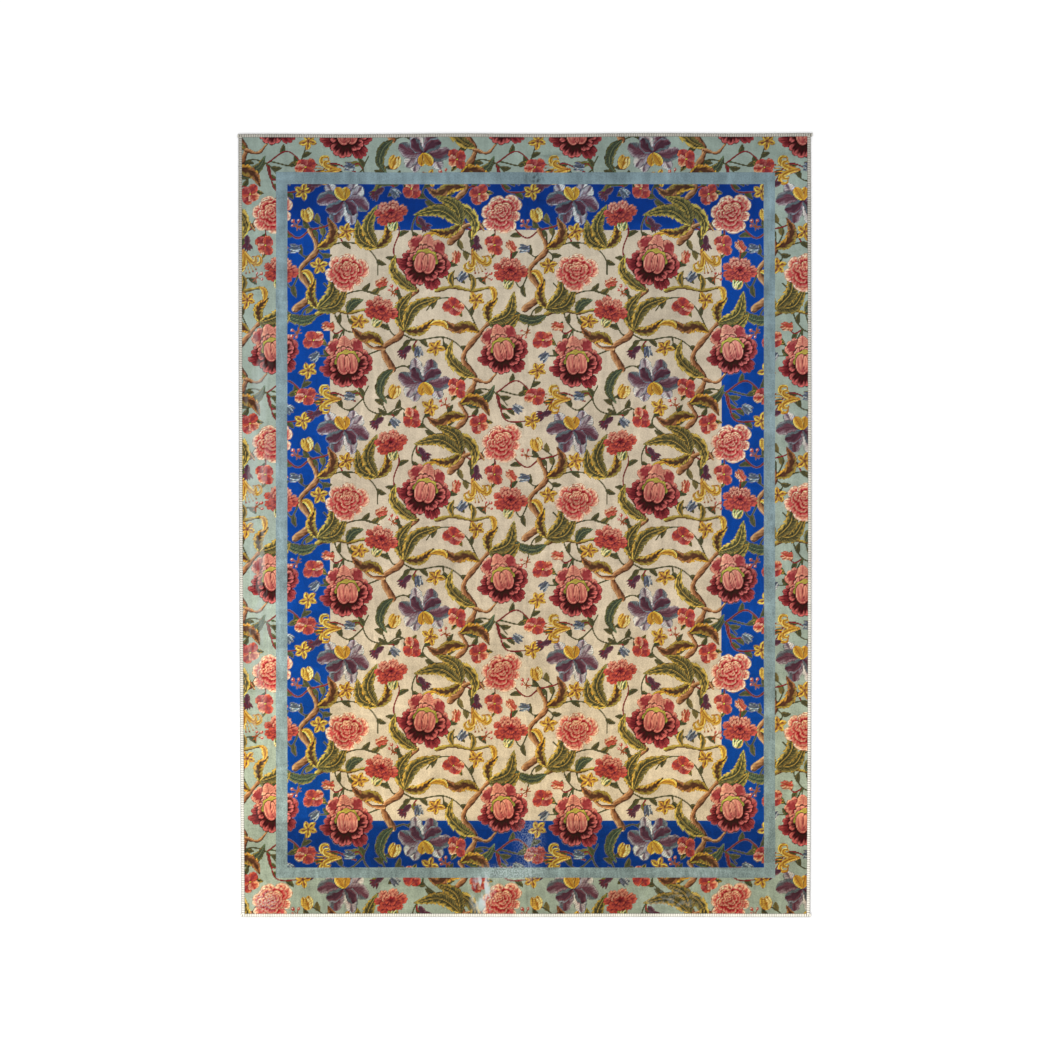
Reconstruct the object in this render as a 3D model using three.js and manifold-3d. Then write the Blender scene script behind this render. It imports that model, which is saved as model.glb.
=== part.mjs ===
// A printed velvet rug that lies flat, with an overlocked yarn edge on its four sides.
// Sizes are in millimetres. X runs across the rug, Y up its length and Z up from the floor.
// The origin is on the floor, under the middle of the rug.

import * as THREE from 'three';
import { mergeVertices } from 'three/addons/utils/BufferGeometryUtils.js';
import Module from 'manifold-3d';

const wasm = await Module();
wasm.setup();

// Size of the finished rug, over its edges
const RUG_WIDTH = 1600;
const RUG_LENGTH = 2190;

// Cloth: velvet face and backing together
const CLOTH_THICKNESS = 4;

// Overlocked edge: a rounded run of yarn that closes round a thinned lip of the cloth
const EDGE_WIDTH = 10;
const EDGE_HEIGHT = 4.8;
const LIP_DEPTH = 7;
const LIP_LOW = 1.2;
const LIP_HIGH = 2.8;
const GAP = 0.3;

// Uneven outline: each value is how far a side strays inwards from the plain rectangle
const LEFT_TAPER = 8;
const RIGHT_HOLLOW = 2.2;
const RIGHT_TAPER = 2;
const TOP_SLOPE = 3.4;
const TOP_WAVE = 1.7;
const TOP_WAVE_LENGTH = 550;
const TOP_WAVE_CREST = -750;
const BOTTOM_WAVE = 0.6;
const BOTTOM_WAVE_LENGTH = 730;

// The overrun of the top edge's yarn past the right side
const EAR = 2.5;

// Packing folds that still show as low relief in the face: place, half width and height
const FOLDS_ACROSS = [
  { y: 312, halfWidth: 45, height: 0.7 },
  { y: -322, halfWidth: 55, height: 0.8 },
];
const FOLD_ALONG = { x: 7, halfWidth: 14, height: -0.9 };

// Grid of the cloth's face
const COLUMNS = 22;
const ROWS = 28;
const CORNER_LINE = 30;

const COLOURS = { velvet: 0xb8a283, yarn: 0xcfcabd };

const velvetMaterial = new THREE.MeshStandardMaterial({ color: COLOURS.velvet, roughness: 0.92, metalness: 0 });
const yarnMaterial = new THREE.MeshStandardMaterial({ color: COLOURS.yarn, roughness: 0.88, metalness: 0 });

// How far each side strays inwards at a place along it
function leftInset(y) {
  const fromTop = 0.5 - y / RUG_LENGTH;
  return LEFT_TAPER * fromTop ** 2;
}

function rightInset(y) {
  const fromTop = 0.5 - y / RUG_LENGTH;
  return RIGHT_HOLLOW * (1 - Math.sin(Math.PI * fromTop)) + RIGHT_TAPER * fromTop ** 4;
}

function topInset(x) {
  const slope = TOP_SLOPE * (0.5 - x / RUG_WIDTH);
  const wave = 1 - Math.cos((2 * Math.PI * (x - TOP_WAVE_CREST)) / TOP_WAVE_LENGTH);
  return slope + (TOP_WAVE * wave) / 2;
}

function bottomInset(x) {
  return (BOTTOM_WAVE * (1 - Math.cos((2 * Math.PI * x) / BOTTOM_WAVE_LENGTH))) / 2;
}

// Moves a point of the plain rectangle to its place in the uneven outline
function placed(x, y, z) {
  const across = 0.5 + x / RUG_WIDTH;
  const up = 0.5 + y / RUG_LENGTH;
  const shiftX = leftInset(y) * (1 - across) - rightInset(y) * across;
  const shiftY = bottomInset(x) * (1 - up) - topInset(x) * up;
  return [x + shiftX, y + shiftY, z];
}

// A soft hump that is 1 on its line and 0 at its half width
function hump(distance, halfWidth) {
  const share = Math.min(Math.abs(distance) / halfWidth, 1);
  return (1 + Math.cos(Math.PI * share)) / 2;
}

function faceHeight(x, y) {
  const across = FOLDS_ACROSS.reduce((sum, fold) => sum + fold.height * hump(y - fold.y, fold.halfWidth), 0);
  return CLOTH_THICKNESS + across + FOLD_ALONG.height * hump(x - FOLD_ALONG.x, FOLD_ALONG.halfWidth);
}

// Grid lines from one end to the other, evenly spaced, with a few more across each fold
function gridLines(length, count, folds) {
  const inner = length - 2 * CORNER_LINE;
  const even = Array.from({ length: count + 1 }, (_, i) => -inner / 2 + (inner * i) / count);
  const clear = even.filter((line) => folds.every((fold) => Math.abs(line - fold.at) > fold.halfWidth * 1.3));
  const extra = folds.flatMap((fold) => [-1, -0.5, 0, 0.5, 1].map((share) => fold.at + share * fold.halfWidth));
  return [...clear, ...extra].sort((a, b) => a - b);
}

const INNER_X = gridLines(RUG_WIDTH, COLUMNS, [{ at: FOLD_ALONG.x, halfWidth: FOLD_ALONG.halfWidth }]);
const INNER_Y = gridLines(
  RUG_LENGTH,
  ROWS,
  FOLDS_ACROSS.map((fold) => ({ at: fold.y, halfWidth: fold.halfWidth })),
);

// The grid lines with their two outer ones at an inset from the rug's sides
function linesAt(inset) {
  return {
    xs: [-RUG_WIDTH / 2 + inset, ...INNER_X, RUG_WIDTH / 2 - inset],
    ys: [-RUG_LENGTH / 2 + inset, ...INNER_Y, RUG_LENGTH / 2 - inset],
  };
}

// The points round a rectangle at an inset from the sides, anticlockwise seen from above
function loopAt(inset, height) {
  const { xs, ys } = linesAt(inset);
  const [left, right, low, high] = [xs[0], xs.at(-1), ys[0], ys.at(-1)];
  const flat = [
    ...xs.slice(0, -1).map((x) => [x, low]),
    ...ys.slice(0, -1).map((y) => [right, y]),
    ...xs.slice(1).reverse().map((x) => [x, high]),
    ...ys.slice(1).reverse().map((y) => [left, y]),
  ];
  return flat.map(([x, y]) => placed(x, y, typeof height === 'function' ? height(x, y) : height));
}

// One closed geometry from a list of triangles, each of three points
function solidOf(triangles) {
  const geometry = new THREE.BufferGeometry();
  geometry.setAttribute('position', new THREE.Float32BufferAttribute(triangles.flat(2), 3));
  return mergeVertices(geometry, 1e-3);
}

function quad(a, b, c, d) {
  return [[a, b, c], [a, c, d]];
}

// The wall between two loops, the first below the second or outside it
function wall(lower, upper) {
  return lower.flatMap((point, i) => {
    const next = (i + 1) % lower.length;
    return quad(point, lower[next], upper[next], upper[i]);
  });
}

// A flat face over a loop, facing up or down
function cap(loop, facesUp) {
  const contour = loop.map(([x, y]) => new THREE.Vector2(x, y));
  const faces = THREE.ShapeUtils.triangulateShape(contour, []);
  return faces.map(([a, b, c]) => (facesUp ? [loop[a], loop[b], loop[c]] : [loop[a], loop[c], loop[b]]));
}

// The velvet face as a grid that follows the folds
function face(inset) {
  const { xs, ys } = linesAt(inset);
  const at = (i, j) => placed(xs[i], ys[j], faceHeight(xs[i], ys[j]));
  return ys.slice(1).flatMap((_, j) =>
    xs.slice(1).flatMap((__, i) => quad(at(i, j), at(i + 1, j), at(i + 1, j + 1), at(i, j + 1))),
  );
}

// The cloth: flat underneath, with a thinned lip all round that the yarn closes on
function clothGeometry() {
  const bodyInset = EDGE_WIDTH + GAP;
  const lipInset = EDGE_WIDTH - LIP_DEPTH;
  const loops = [
    loopAt(bodyInset, 0),
    loopAt(bodyInset, LIP_LOW),
    loopAt(lipInset, LIP_LOW),
    loopAt(lipInset, LIP_HIGH),
    loopAt(bodyInset, LIP_HIGH),
    loopAt(bodyInset, faceHeight),
  ];
  const walls = loops.slice(1).flatMap((loop, i) => wall(loops[i], loop));
  return solidOf([...cap(loops[0], false), ...walls, ...face(bodyInset)]);
}

// Section of the yarn edge: inset from the side and height, going up the outside and down the inside
const EDGE_SECTION = [
  { inset: 1.2, z: 0 },
  { inset: 0, z: 1.4 },
  { inset: 0, z: 2.9 },
  { inset: 1, z: 4.1 },
  { inset: 3.2, z: EDGE_HEIGHT },
  { inset: 7.2, z: EDGE_HEIGHT },
  { inset: 9.3, z: 4.3 },
  { inset: EDGE_WIDTH, z: 3.6 },
  { inset: EDGE_WIDTH, z: 0 },
];

// Sweeps the section through stations, each a function from a section point to a point of the rug
function swept(stations) {
  const rings = stations.map((station) => EDGE_SECTION.map(station));
  const skins = rings.slice(1).flatMap((ring, k) =>
    ring.flatMap((point, i) => {
      const next = (i + 1) % ring.length;
      return quad(rings[k][i], rings[k][next], ring[next], point);
    }),
  );
  const faces = THREE.ShapeUtils.triangulateShape(
    EDGE_SECTION.map(({ inset, z }) => new THREE.Vector2(inset, z)),
    [],
  );
  const first = faces.map(([a, b, c]) => [a, b, c].map((i) => rings[0][i]));
  const last = faces.map(([a, b, c]) => [a, c, b].map((i) => rings.at(-1)[i]));
  return solidOf([...skins, ...first, ...last]);
}

// Rounds the section towards its middle by a share, for the ends of a run
function rounded({ inset, z }, share) {
  const middle = EDGE_WIDTH / 2;
  return { inset: middle + (inset - middle) * share, z: z > 0 ? Math.max(z * share, 0.4) : 0 };
}

// Stations of a run across the rug: full in the middle and rounded at its two ends
function crossStations(start, end, pointAt) {
  const ends = [
    { along: 0, share: 0.62 },
    { along: 1.2, share: 0.86 },
    { along: 3.6, share: 1 },
  ];
  const between = INNER_X.map((x) => ({ x, share: 1 }));
  const stations = [
    ...ends.map(({ along, share }) => ({ x: start + along, share })),
    ...between,
    ...ends.map(({ along, share }) => ({ x: end - along, share })).reverse(),
  ];
  return stations.map(({ x, share }) => (point) => pointAt(x, rounded(point, share)));
}

function topEdge() {
  const pointAt = (x, { inset, z }) => placed(x, RUG_LENGTH / 2 - inset, z);
  return swept(crossStations(-RUG_WIDTH / 2, RUG_WIDTH / 2 + EAR, pointAt));
}

function bottomEdge() {
  const pointAt = (x, { inset, z }) => placed(x, -RUG_LENGTH / 2 + inset, z);
  return swept(crossStations(-RUG_WIDTH / 2, RUG_WIDTH / 2, pointAt).reverse());
}

// A run up one side, between the top and bottom ones
function sideEdge(side) {
  const reach = RUG_LENGTH / 2 - EDGE_WIDTH - GAP;
  const heights = [-reach, ...INNER_Y, reach];
  const stations = heights.map((y) => ({ inset, z }) => placed(side * (RUG_WIDTH / 2 - inset), y, z));
  return swept(side > 0 ? stations.reverse() : stations);
}

// Solid cuts
function toManifold(geometry) {
  return new wasm.Manifold(
    new wasm.Mesh({
      numProp: 3,
      vertProperties: Float32Array.from(geometry.attributes.position.array),
      triVerts: Uint32Array.from(geometry.index.array),
    }),
  );
}

function fromManifold(solid) {
  const { vertProperties, triVerts } = solid.getMesh();
  const geometry = new THREE.BufferGeometry();
  geometry.setAttribute('position', new THREE.Float32BufferAttribute(vertProperties, 3));
  geometry.setIndex(new THREE.Uint32BufferAttribute(triVerts, 1));
  return geometry;
}

// The room that the cloth's lip takes inside the yarn, with the gap all round
function lipRoom() {
  const inset = EDGE_WIDTH - LIP_DEPTH - GAP;
  const low = loopAt(inset, LIP_LOW - GAP);
  const high = loopAt(inset, LIP_HIGH + GAP);
  return solidOf([...cap(low, false), ...wall(low, high), ...cap(high, true)]);
}

const room = toManifold(lipRoom());

function closedOnLip(geometry) {
  return fromManifold(toManifold(geometry).subtract(room));
}

function named(name, geometry, material) {
  const mesh = new THREE.Mesh(geometry, material);
  mesh.name = name;
  return mesh;
}

const rug = new THREE.Group();
rug.name = 'rug';
rug.add(
  named('rug_cloth', clothGeometry(), velvetMaterial),
  named('binding_top', closedOnLip(topEdge()), yarnMaterial),
  named('binding_bottom', closedOnLip(bottomEdge()), yarnMaterial),
  named('binding_left', closedOnLip(sideEdge(-1)), yarnMaterial),
  named('binding_right', closedOnLip(sideEdge(1)), yarnMaterial),
);

export default rug;
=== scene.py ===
"""Looks of a printed velvet rug with an overlocked yarn edge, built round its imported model.

The rug lies flat with X across it, Y up its length and Z up. The floral print is painted once, in code, as
a repeat tile, and carried on the pile as a colour at each point. The grounds and borders beneath the print
come from the velvet's own material.
"""

import logging
import math
from dataclasses import dataclass, replace
from enum import Enum
from typing import ClassVar

import bmesh
import bpy
import numpy as np
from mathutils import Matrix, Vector


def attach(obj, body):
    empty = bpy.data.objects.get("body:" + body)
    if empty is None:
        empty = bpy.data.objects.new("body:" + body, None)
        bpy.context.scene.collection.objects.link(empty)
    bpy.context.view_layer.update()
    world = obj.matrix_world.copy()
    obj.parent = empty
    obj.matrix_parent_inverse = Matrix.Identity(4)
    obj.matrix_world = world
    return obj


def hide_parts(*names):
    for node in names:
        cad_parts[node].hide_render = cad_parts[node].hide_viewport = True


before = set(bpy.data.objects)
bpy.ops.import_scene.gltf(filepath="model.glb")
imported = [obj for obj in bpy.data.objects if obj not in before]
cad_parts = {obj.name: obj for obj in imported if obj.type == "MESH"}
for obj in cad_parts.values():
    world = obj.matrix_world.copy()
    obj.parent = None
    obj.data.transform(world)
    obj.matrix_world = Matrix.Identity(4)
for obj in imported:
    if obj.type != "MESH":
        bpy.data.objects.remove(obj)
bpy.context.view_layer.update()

LOG = logging.getLogger("rug")
MILLIMETRES = 1000.0  # in a metre
REPEAT = 640.0  # side of the print's repeat, in millimetres
TILE_PIXELS = 1024  # pixels along the painted repeat
COARSER = 4  # pixels along a cell of the map of bare places
EDGE_BLUR = 1.1  # width of a shape's soft edge, in millimetres
FIRST_SEED = 10  # seed of the first side's stitches

Colour = tuple[int, int, int]
Place = tuple[float, float]
Triple = tuple[float, float, float]
Span = tuple[float, float, float, float]
Route = tuple[Place, ...]
Socket = bpy.types.NodeSocket


class Dye(Enum):
    """Named dyes of the print, in sRGB from 0 to 255."""

    SOOT = (54, 24, 18)
    WINE = (72, 18, 22)
    MAROON = (108, 34, 37)
    MADDER = (146, 56, 56)
    ROSE = (170, 82, 76)
    SALMON = (196, 124, 102)
    APRICOT = (224, 152, 120)
    SHELL = (228, 184, 150)
    CRIMSON = (162, 42, 44)
    BLUSH = (198, 90, 82)
    CORAL = (176, 74, 58)
    PEACH = (208, 134, 96)
    RUST = (142, 76, 42)
    TERRACOTTA = (144, 96, 60)
    CLAY = (182, 136, 90)
    UMBER = (88, 56, 36)
    OCHRE = (182, 134, 50)
    GOLD = (204, 160, 68)
    STRAW = (220, 194, 120)
    OLIVE = (138, 116, 54)
    MOSS = (174, 146, 70)
    LEAF = (104, 94, 54)
    FOREST = (72, 70, 44)
    SAGE = (112, 118, 80)
    PINE = (64, 72, 54)
    PLUM = (80, 48, 58)
    GRAPE = (104, 66, 74)
    MAUVE = (130, 106, 110)
    LILAC = (164, 152, 150)
    MIST = (200, 190, 178)
    SLATE = (92, 96, 98)
    SKY = (130, 142, 146)
    DUSK = (72, 80, 96)

    @property
    def rgb(self) -> np.ndarray:
        """The dye as three shares from 0 to 1."""
        return np.array(self.value, np.float32) / 255


def mixed(first: np.ndarray, second: np.ndarray, share: np.ndarray) -> np.ndarray:
    """Mixes two colours by a share for each place.

    Args:
        first: Colour where the share is 0, one for all or one for each place.
        second: Colour where the share is 1.
        share: Share of the second colour at each place.

    Returns:
        A colour for each place.
    """
    share = np.clip(share, 0, 1)[..., None]
    return first * (1 - share) + second * share


def ramp(low: float, high: float, value: np.ndarray) -> np.ndarray:
    """Rises smoothly from 0 at low to 1 at high."""
    share = np.clip((value - low) / (high - low), 0, 1)
    return share * share * (3 - 2 * share)


def as_light(shares: np.ndarray) -> np.ndarray:
    """Colours in sRGB from 0 to 1, as light by the standard's own curve."""
    return np.where(shares <= 0.04045, shares / 12.92, ((shares + 0.055) / 1.055) ** 2.4)


def smoothed(layers: np.ndarray, width: float) -> np.ndarray:
    """Smooths square layers with a round brush that wraps round their sides.

    Args:
        layers: The layers, side by side along the last axis.
        width: Radius of the brush, in pixels.

    Returns:
        The smoothed layers.
    """
    places = np.fft.fftfreq(len(layers))
    squared = places[:, None] ** 2 + places[None, :] ** 2
    window = np.exp(-2 * (math.pi * width) ** 2 * squared)[..., None]
    return np.fft.ifft2(np.fft.fft2(layers, axes=(0, 1)) * window, axes=(0, 1)).real


@dataclass
class Patch:
    """A square piece of the tile as one motif sees it.

    Args:
        rows: Rows of the tile that it covers, wrapped round.
        columns: Columns of the tile that it covers, wrapped round.
        x: Place of each pixel across the motif, in millimetres.
        y: Place of each pixel up the motif, in millimetres.
    """

    rows: np.ndarray
    columns: np.ndarray
    x: np.ndarray
    y: np.ndarray


class Tile:
    """One repeat of the print, which joins itself at all four sides.

    A place near another filler of the same kind is shunned by a weight that falls off over a reach. The dyes
    are carried beyond their shapes by brushes, each with its width in pixels and its weight.
    """

    SHUN_WEIGHT = 0.45
    SHUN_REACH = 62
    BRUSHES = ((0.5, 1.0), (2.5, 0.02), (9.0, 0.0005))
    SOFTENING = 3.4
    CRISPNESS = (2.2, 2.2, 2.2, 1.0)

    def __init__(self) -> None:
        """Starts with bare ground."""
        self.step = REPEAT / TILE_PIXELS
        self.ink = np.zeros((TILE_PIXELS, TILE_PIXELS, 3), np.float32)
        self.cover = np.zeros((TILE_PIXELS, TILE_PIXELS), np.float32)
        self.light = np.zeros_like(self.ink)

    def patch(self, x: float, y: float, reach: float, turn: float = 0.0) -> Patch:
        """Cuts out the square round a place.

        Args:
            x: Centre across the tile, in millimetres.
            y: Centre up the tile, in millimetres.
            reach: Half the square's side, in millimetres.
            turn: How far the motif is turned, in degrees.

        Returns:
            The patch, with places measured from its centre.
        """
        count = int(math.ceil(reach / self.step))
        column, row = round(x / self.step), round(y / self.step)
        across = np.arange(column - count, column + count + 1)
        up = np.arange(row - count, row + count + 1)
        dx, dy = np.meshgrid(across * self.step - x, up * self.step - y)
        cos, sin = math.cos(math.radians(turn)), math.sin(math.radians(turn))
        return Patch(
            up % TILE_PIXELS,
            across % TILE_PIXELS,
            (cos * dx + sin * dy).astype(np.float32),
            (-sin * dx + cos * dy).astype(np.float32),
        )

    def lay(
        self,
        patch: Patch,
        outside: np.ndarray,
        colour: np.ndarray,
        strength: float = 1.0,
        under: bool = False,
    ) -> None:
        """Prints a colour where a signed distance is below 0.

        Args:
            patch: Where it goes.
            outside: Distance outside the shape at each place, in millimetres, below 0 inside.
            colour: One colour, or one for each place.
            strength: How much of the ink below it hides.
            under: Whether it goes beneath what is there already.
        """
        grid = np.ix_(patch.rows, patch.columns)
        mask = np.clip(0.5 - outside / EDGE_BLUR, 0, 1) * strength
        below, covered = self.ink[grid], self.cover[grid]
        if under:
            mask = mask * (1 - covered)
            self.ink[grid] = below + mask[..., None] * colour
            self.cover[grid] = covered + mask
        else:
            self.ink[grid] = below * (1 - mask[..., None]) + mask[..., None] * colour
            self.cover[grid] = covered + mask * (1 - covered)

    def dot(
        self, patch: Patch, radius: float, dye: Dye, strength: float = 1.0, centre: Place = (0.0, 0.0)
    ) -> None:
        """Prints a round spot.

        Args:
            patch: Where it goes.
            radius: Its radius, in millimetres.
            dye: Its dye.
            strength: How much of the ink below it hides.
            centre: Its place in the patch, in millimetres.
        """
        away = np.hypot(patch.x - centre[0], patch.y - centre[1])
        self.lay(patch, away - radius, dye.rgb, strength)

    def emptiest(self, spread: float, shunned: list[Place]) -> Place:
        """The place with the least print round it.

        Args:
            spread: How far round each place is looked at, in millimetres.
            shunned: Places to keep away from.

        Returns:
            The place across and up the tile, in millimetres.
        """
        coarse = self.cover.reshape(TILE_PIXELS // COARSER, COARSER, -1, COARSER).mean((1, 3))
        crowding = smoothed(coarse[..., None], spread / (COARSER * self.step))[..., 0]
        places = (np.arange(len(crowding)) + 0.5) * COARSER * self.step
        for x, y in shunned:
            dx, dy = ((places - centre + REPEAT / 2) % REPEAT - REPEAT / 2 for centre in (x, y))
            away = dx[None, :] ** 2 + dy[:, None] ** 2
            crowding += self.SHUN_WEIGHT * np.exp(-away / self.SHUN_REACH**2)
        row, column = np.unravel_index(np.argmin(crowding), crowding.shape)
        return places[column], places[row]

    def spread_ink(self) -> None:
        """Carries each dye a little beyond its shapes, then makes small changes of dye stronger."""
        layers = np.dstack([self.ink, self.cover])
        total = sum(weight * smoothed(layers, width) for width, weight in self.BRUSHES)
        colour = np.clip(total[..., :3] / np.maximum(total[..., 3:], 1e-6), 0, 1)
        layers = np.dstack([colour, self.cover])
        crisp = np.clip(layers + self.CRISPNESS * (layers - smoothed(layers, self.SOFTENING)), 0, 1)
        self.light, self.cover = as_light(crisp[..., :3]), crisp[..., 3]

    def sampled(self, x: np.ndarray, y: np.ndarray, cell: float, parts: int = 4) -> np.ndarray:
        """The print averaged over a square round each place.

        Args:
            x: Places across the endless print, in millimetres.
            y: Places up it.
            cell: Side of each square, in millimetres.
            parts: How many samples go across a square.

        Returns:
            For each place, the dye as light in three shares, and its cover.
        """
        offsets = ((np.arange(parts) + 0.5) / parts - 0.5) * cell
        light = np.zeros((len(x), 3))
        weight = np.zeros(len(x))
        for dx in offsets:
            for dy in offsets:
                column = np.floor((x + dx) / self.step + 0.5).astype(int) % TILE_PIXELS
                row = np.floor((y + dy) / self.step + 0.5).astype(int) % TILE_PIXELS
                share = self.cover[row, column] + 1e-4
                light += self.light[row, column] * share[:, None]
                weight += share
        cover = weight / parts**2 - 1e-4
        return np.column_stack([light / weight[:, None], cover])


@dataclass
class Line:
    """A smooth curve through a few points of the tile.

    Args:
        through: The points, in millimetres.
        steps: How many straight steps go between two of them.
    """

    through: Route
    steps: int = 8

    def __post_init__(self) -> None:
        """Works out the curve's short straight steps."""
        points = np.array(self.through, float)
        padded = np.vstack([2 * points[0] - points[1], points, 2 * points[-1] - points[-2]])
        share = np.linspace(0, 1, self.steps, endpoint=False)[:, None]
        stretches = []
        for a, b, c, d in zip(padded, padded[1:], padded[2:], padded[3:]):
            bend = 2 * b + (c - a) * share + (2 * a - 5 * b + 4 * c - d) * share**2
            stretches.append((bend + (3 * b - a - 3 * c + d) * share**3) / 2)
        self.points = np.vstack([*stretches, points[-1:]])
        self.lengths = np.hypot(*np.diff(self.points, axis=0).T)
        self.total = float(self.lengths.sum())

    def at(self, share: float) -> tuple[float, float, float]:
        """The place at a share of the length.

        Args:
            share: The share, from 0 at the foot to 1 at the tip.

        Returns:
            The place across and up the tile, and the curve's direction there in degrees.
        """
        walked = np.concatenate([[0], np.cumsum(self.lengths)]) / self.total
        x = float(np.interp(share, walked, self.points[:, 0]))
        y = float(np.interp(share, walked, self.points[:, 1]))
        step = min(int(np.searchsorted(walked, share, side="right")) - 1, len(self.lengths) - 1)
        ahead = self.points[step + 1] - self.points[step]
        return x, y, math.degrees(math.atan2(ahead[1], ahead[0]))

    def measured(self, tile: Tile, margin: float) -> tuple[Patch, np.ndarray, np.ndarray]:
        """Measures the tile round the curve.

        Args:
            tile: The tile.
            margin: How far from the curve to look, in millimetres.

        Returns:
            The patch, the share along the curve at each place, and the distance to its left.
        """
        low, high = self.points.min(0), self.points.max(0)
        middle = (low + high) / 2
        patch = tile.patch(*middle, float((high - low).max()) / 2 + margin)
        nearest = np.full(patch.x.shape, 1e9, np.float32)
        along = np.zeros_like(nearest)
        across = np.zeros_like(nearest)
        walked = 0.0
        for start, step, length in zip(self.points - middle, np.diff(self.points, axis=0), self.lengths):
            x, y = patch.x - start[0], patch.y - start[1]
            share = np.clip((x * step[0] + y * step[1]) / length**2, 0, 1)
            away = np.hypot(x - share * step[0], y - share * step[1])
            closer = away < nearest
            nearest = np.where(closer, away, nearest)
            along = np.where(closer, (walked + share * length) / self.total, along)
            across = np.where(closer, np.copysign(away, step[0] * y - step[1] * x), across)
            walked += length
        return patch, along, across


@dataclass(frozen=True)
class Ring:
    """One ring of petals in a round flower.

    Args:
        petals: How many petals go round.
        radius: Outer radius as a share of the flower's.
        inner: Where the next ring starts to hide this one, as a share of this ring's radius.
        low: Dyes of the lower petals at the foot, the middle and the rim.
        high: The same for the upper petals.
        turn: Turn of the ring, in radians.
        lift: Shift up the flower, as a share of its radius.
        notch: Depth of the dip between two petals.
        scallops: How many scallops each petal's edge has.
        ruffle: Depth of the scallops.
        seam: Strength of the line between two petals.
        crease: Strength of the lines that run in from between two scallops.
        shadow: How far its shadow reaches on to what is beneath, as a share of the flower's radius.
        uneven: How much the petals differ in length.
        droop: How much the lower half is flattened, 1 for not at all.
        threads: How many fine lines go round.
    """

    petals: int
    radius: float
    inner: float
    low: tuple[Dye, Dye, Dye]
    high: tuple[Dye, Dye, Dye]
    turn: float = 0.0
    lift: float = 0.0
    notch: float = 0.20
    scallops: int = 4
    ruffle: float = 0.09
    seam: float = 0.85
    crease: float = 0.55
    shadow: float = 0.0
    uneven: float = 0.12
    droop: float = 1.05
    threads: int = 40

    def print_on(self, tile: Tile, patch: Patch, size: float, shade: Dye, outline: Dye) -> None:
        """Prints the ring.

        Args:
            tile: The tile.
            patch: The flower's patch.
            size: The flower's radius, in millimetres.
            shade: Dye of the seams and creases.
            outline: Dye of the line round the ring.
        """
        x, y = patch.x, patch.y - self.lift * size
        out = np.hypot(x, y * np.where(y < 0, self.droop, 1.05))
        angle = np.arctan2(y, x)
        wander = angle + self.turn + 0.15 * np.sin(2 * angle + 5 * self.turn)
        wander = wander + 0.07 * np.sin(3 * angle + self.radius * 9)
        phase = wander * self.petals / math.tau
        number = np.floor(phase)
        place = phase - number
        side = place * 2 - 1
        sway = 0.5 * np.sin(number * 3) * np.sin(math.pi * place)
        lobes = np.abs(np.sin(math.pi * self.scallops * place + sway))
        bulge = 1 - self.notch * np.abs(side) ** 2.4 + self.uneven * np.sin(number * 2.4 + self.turn * 7)
        edge = size * self.radius * (bulge + self.ruffle * (lobes**0.6 - 0.75))
        share = (out / edge - self.inner) / (1 - self.inner)
        streak = 0.12 * np.sin(side * 9 + 3 * np.sin(number * 5)) + 0.08 * np.sin(side * 21 + number)
        colours = []
        for base, middle, rim in (self.low, self.high):
            colour = mixed(base.rgb, middle.rgb, ramp(0.05, 0.45, share + streak))
            colours.append(mixed(colour, rim.rgb, ramp(0.5, 0.92, share + streak + 0.10 * lobes)))
        colour = mixed(colours[0], colours[1], ramp(-0.15, 0.75, np.sin(angle) + 0.25 * np.sin(number * 4)))
        folds = (1 - ramp(0.0, 0.5, lobes)) * ramp(0.0, 0.5, share) * (1 - 0.6 * ramp(0.7, 1.0, share))
        colour = mixed(colour, shade.rgb, self.crease * folds)
        fine = ramp(0.1, 0.9, np.sin(wander * self.threads + 1.5 * np.sin(share * 5 + number)))
        fine = 0.32 * fine * ramp(0.0, 0.3, share) * (1 - ramp(0.7, 1.0, share))
        colour = mixed(colour, shade.rgb, fine)
        colour = mixed(colour, shade.rgb, self.seam * ramp(0.86, 1.0, np.abs(side)))
        tile.lay(patch, out - edge - self.shadow * size, shade.rgb, 0.5)
        tile.lay(patch, out - edge - 1.0, outline.rgb, 0.75)
        tile.lay(patch, out - edge, colour)


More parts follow.
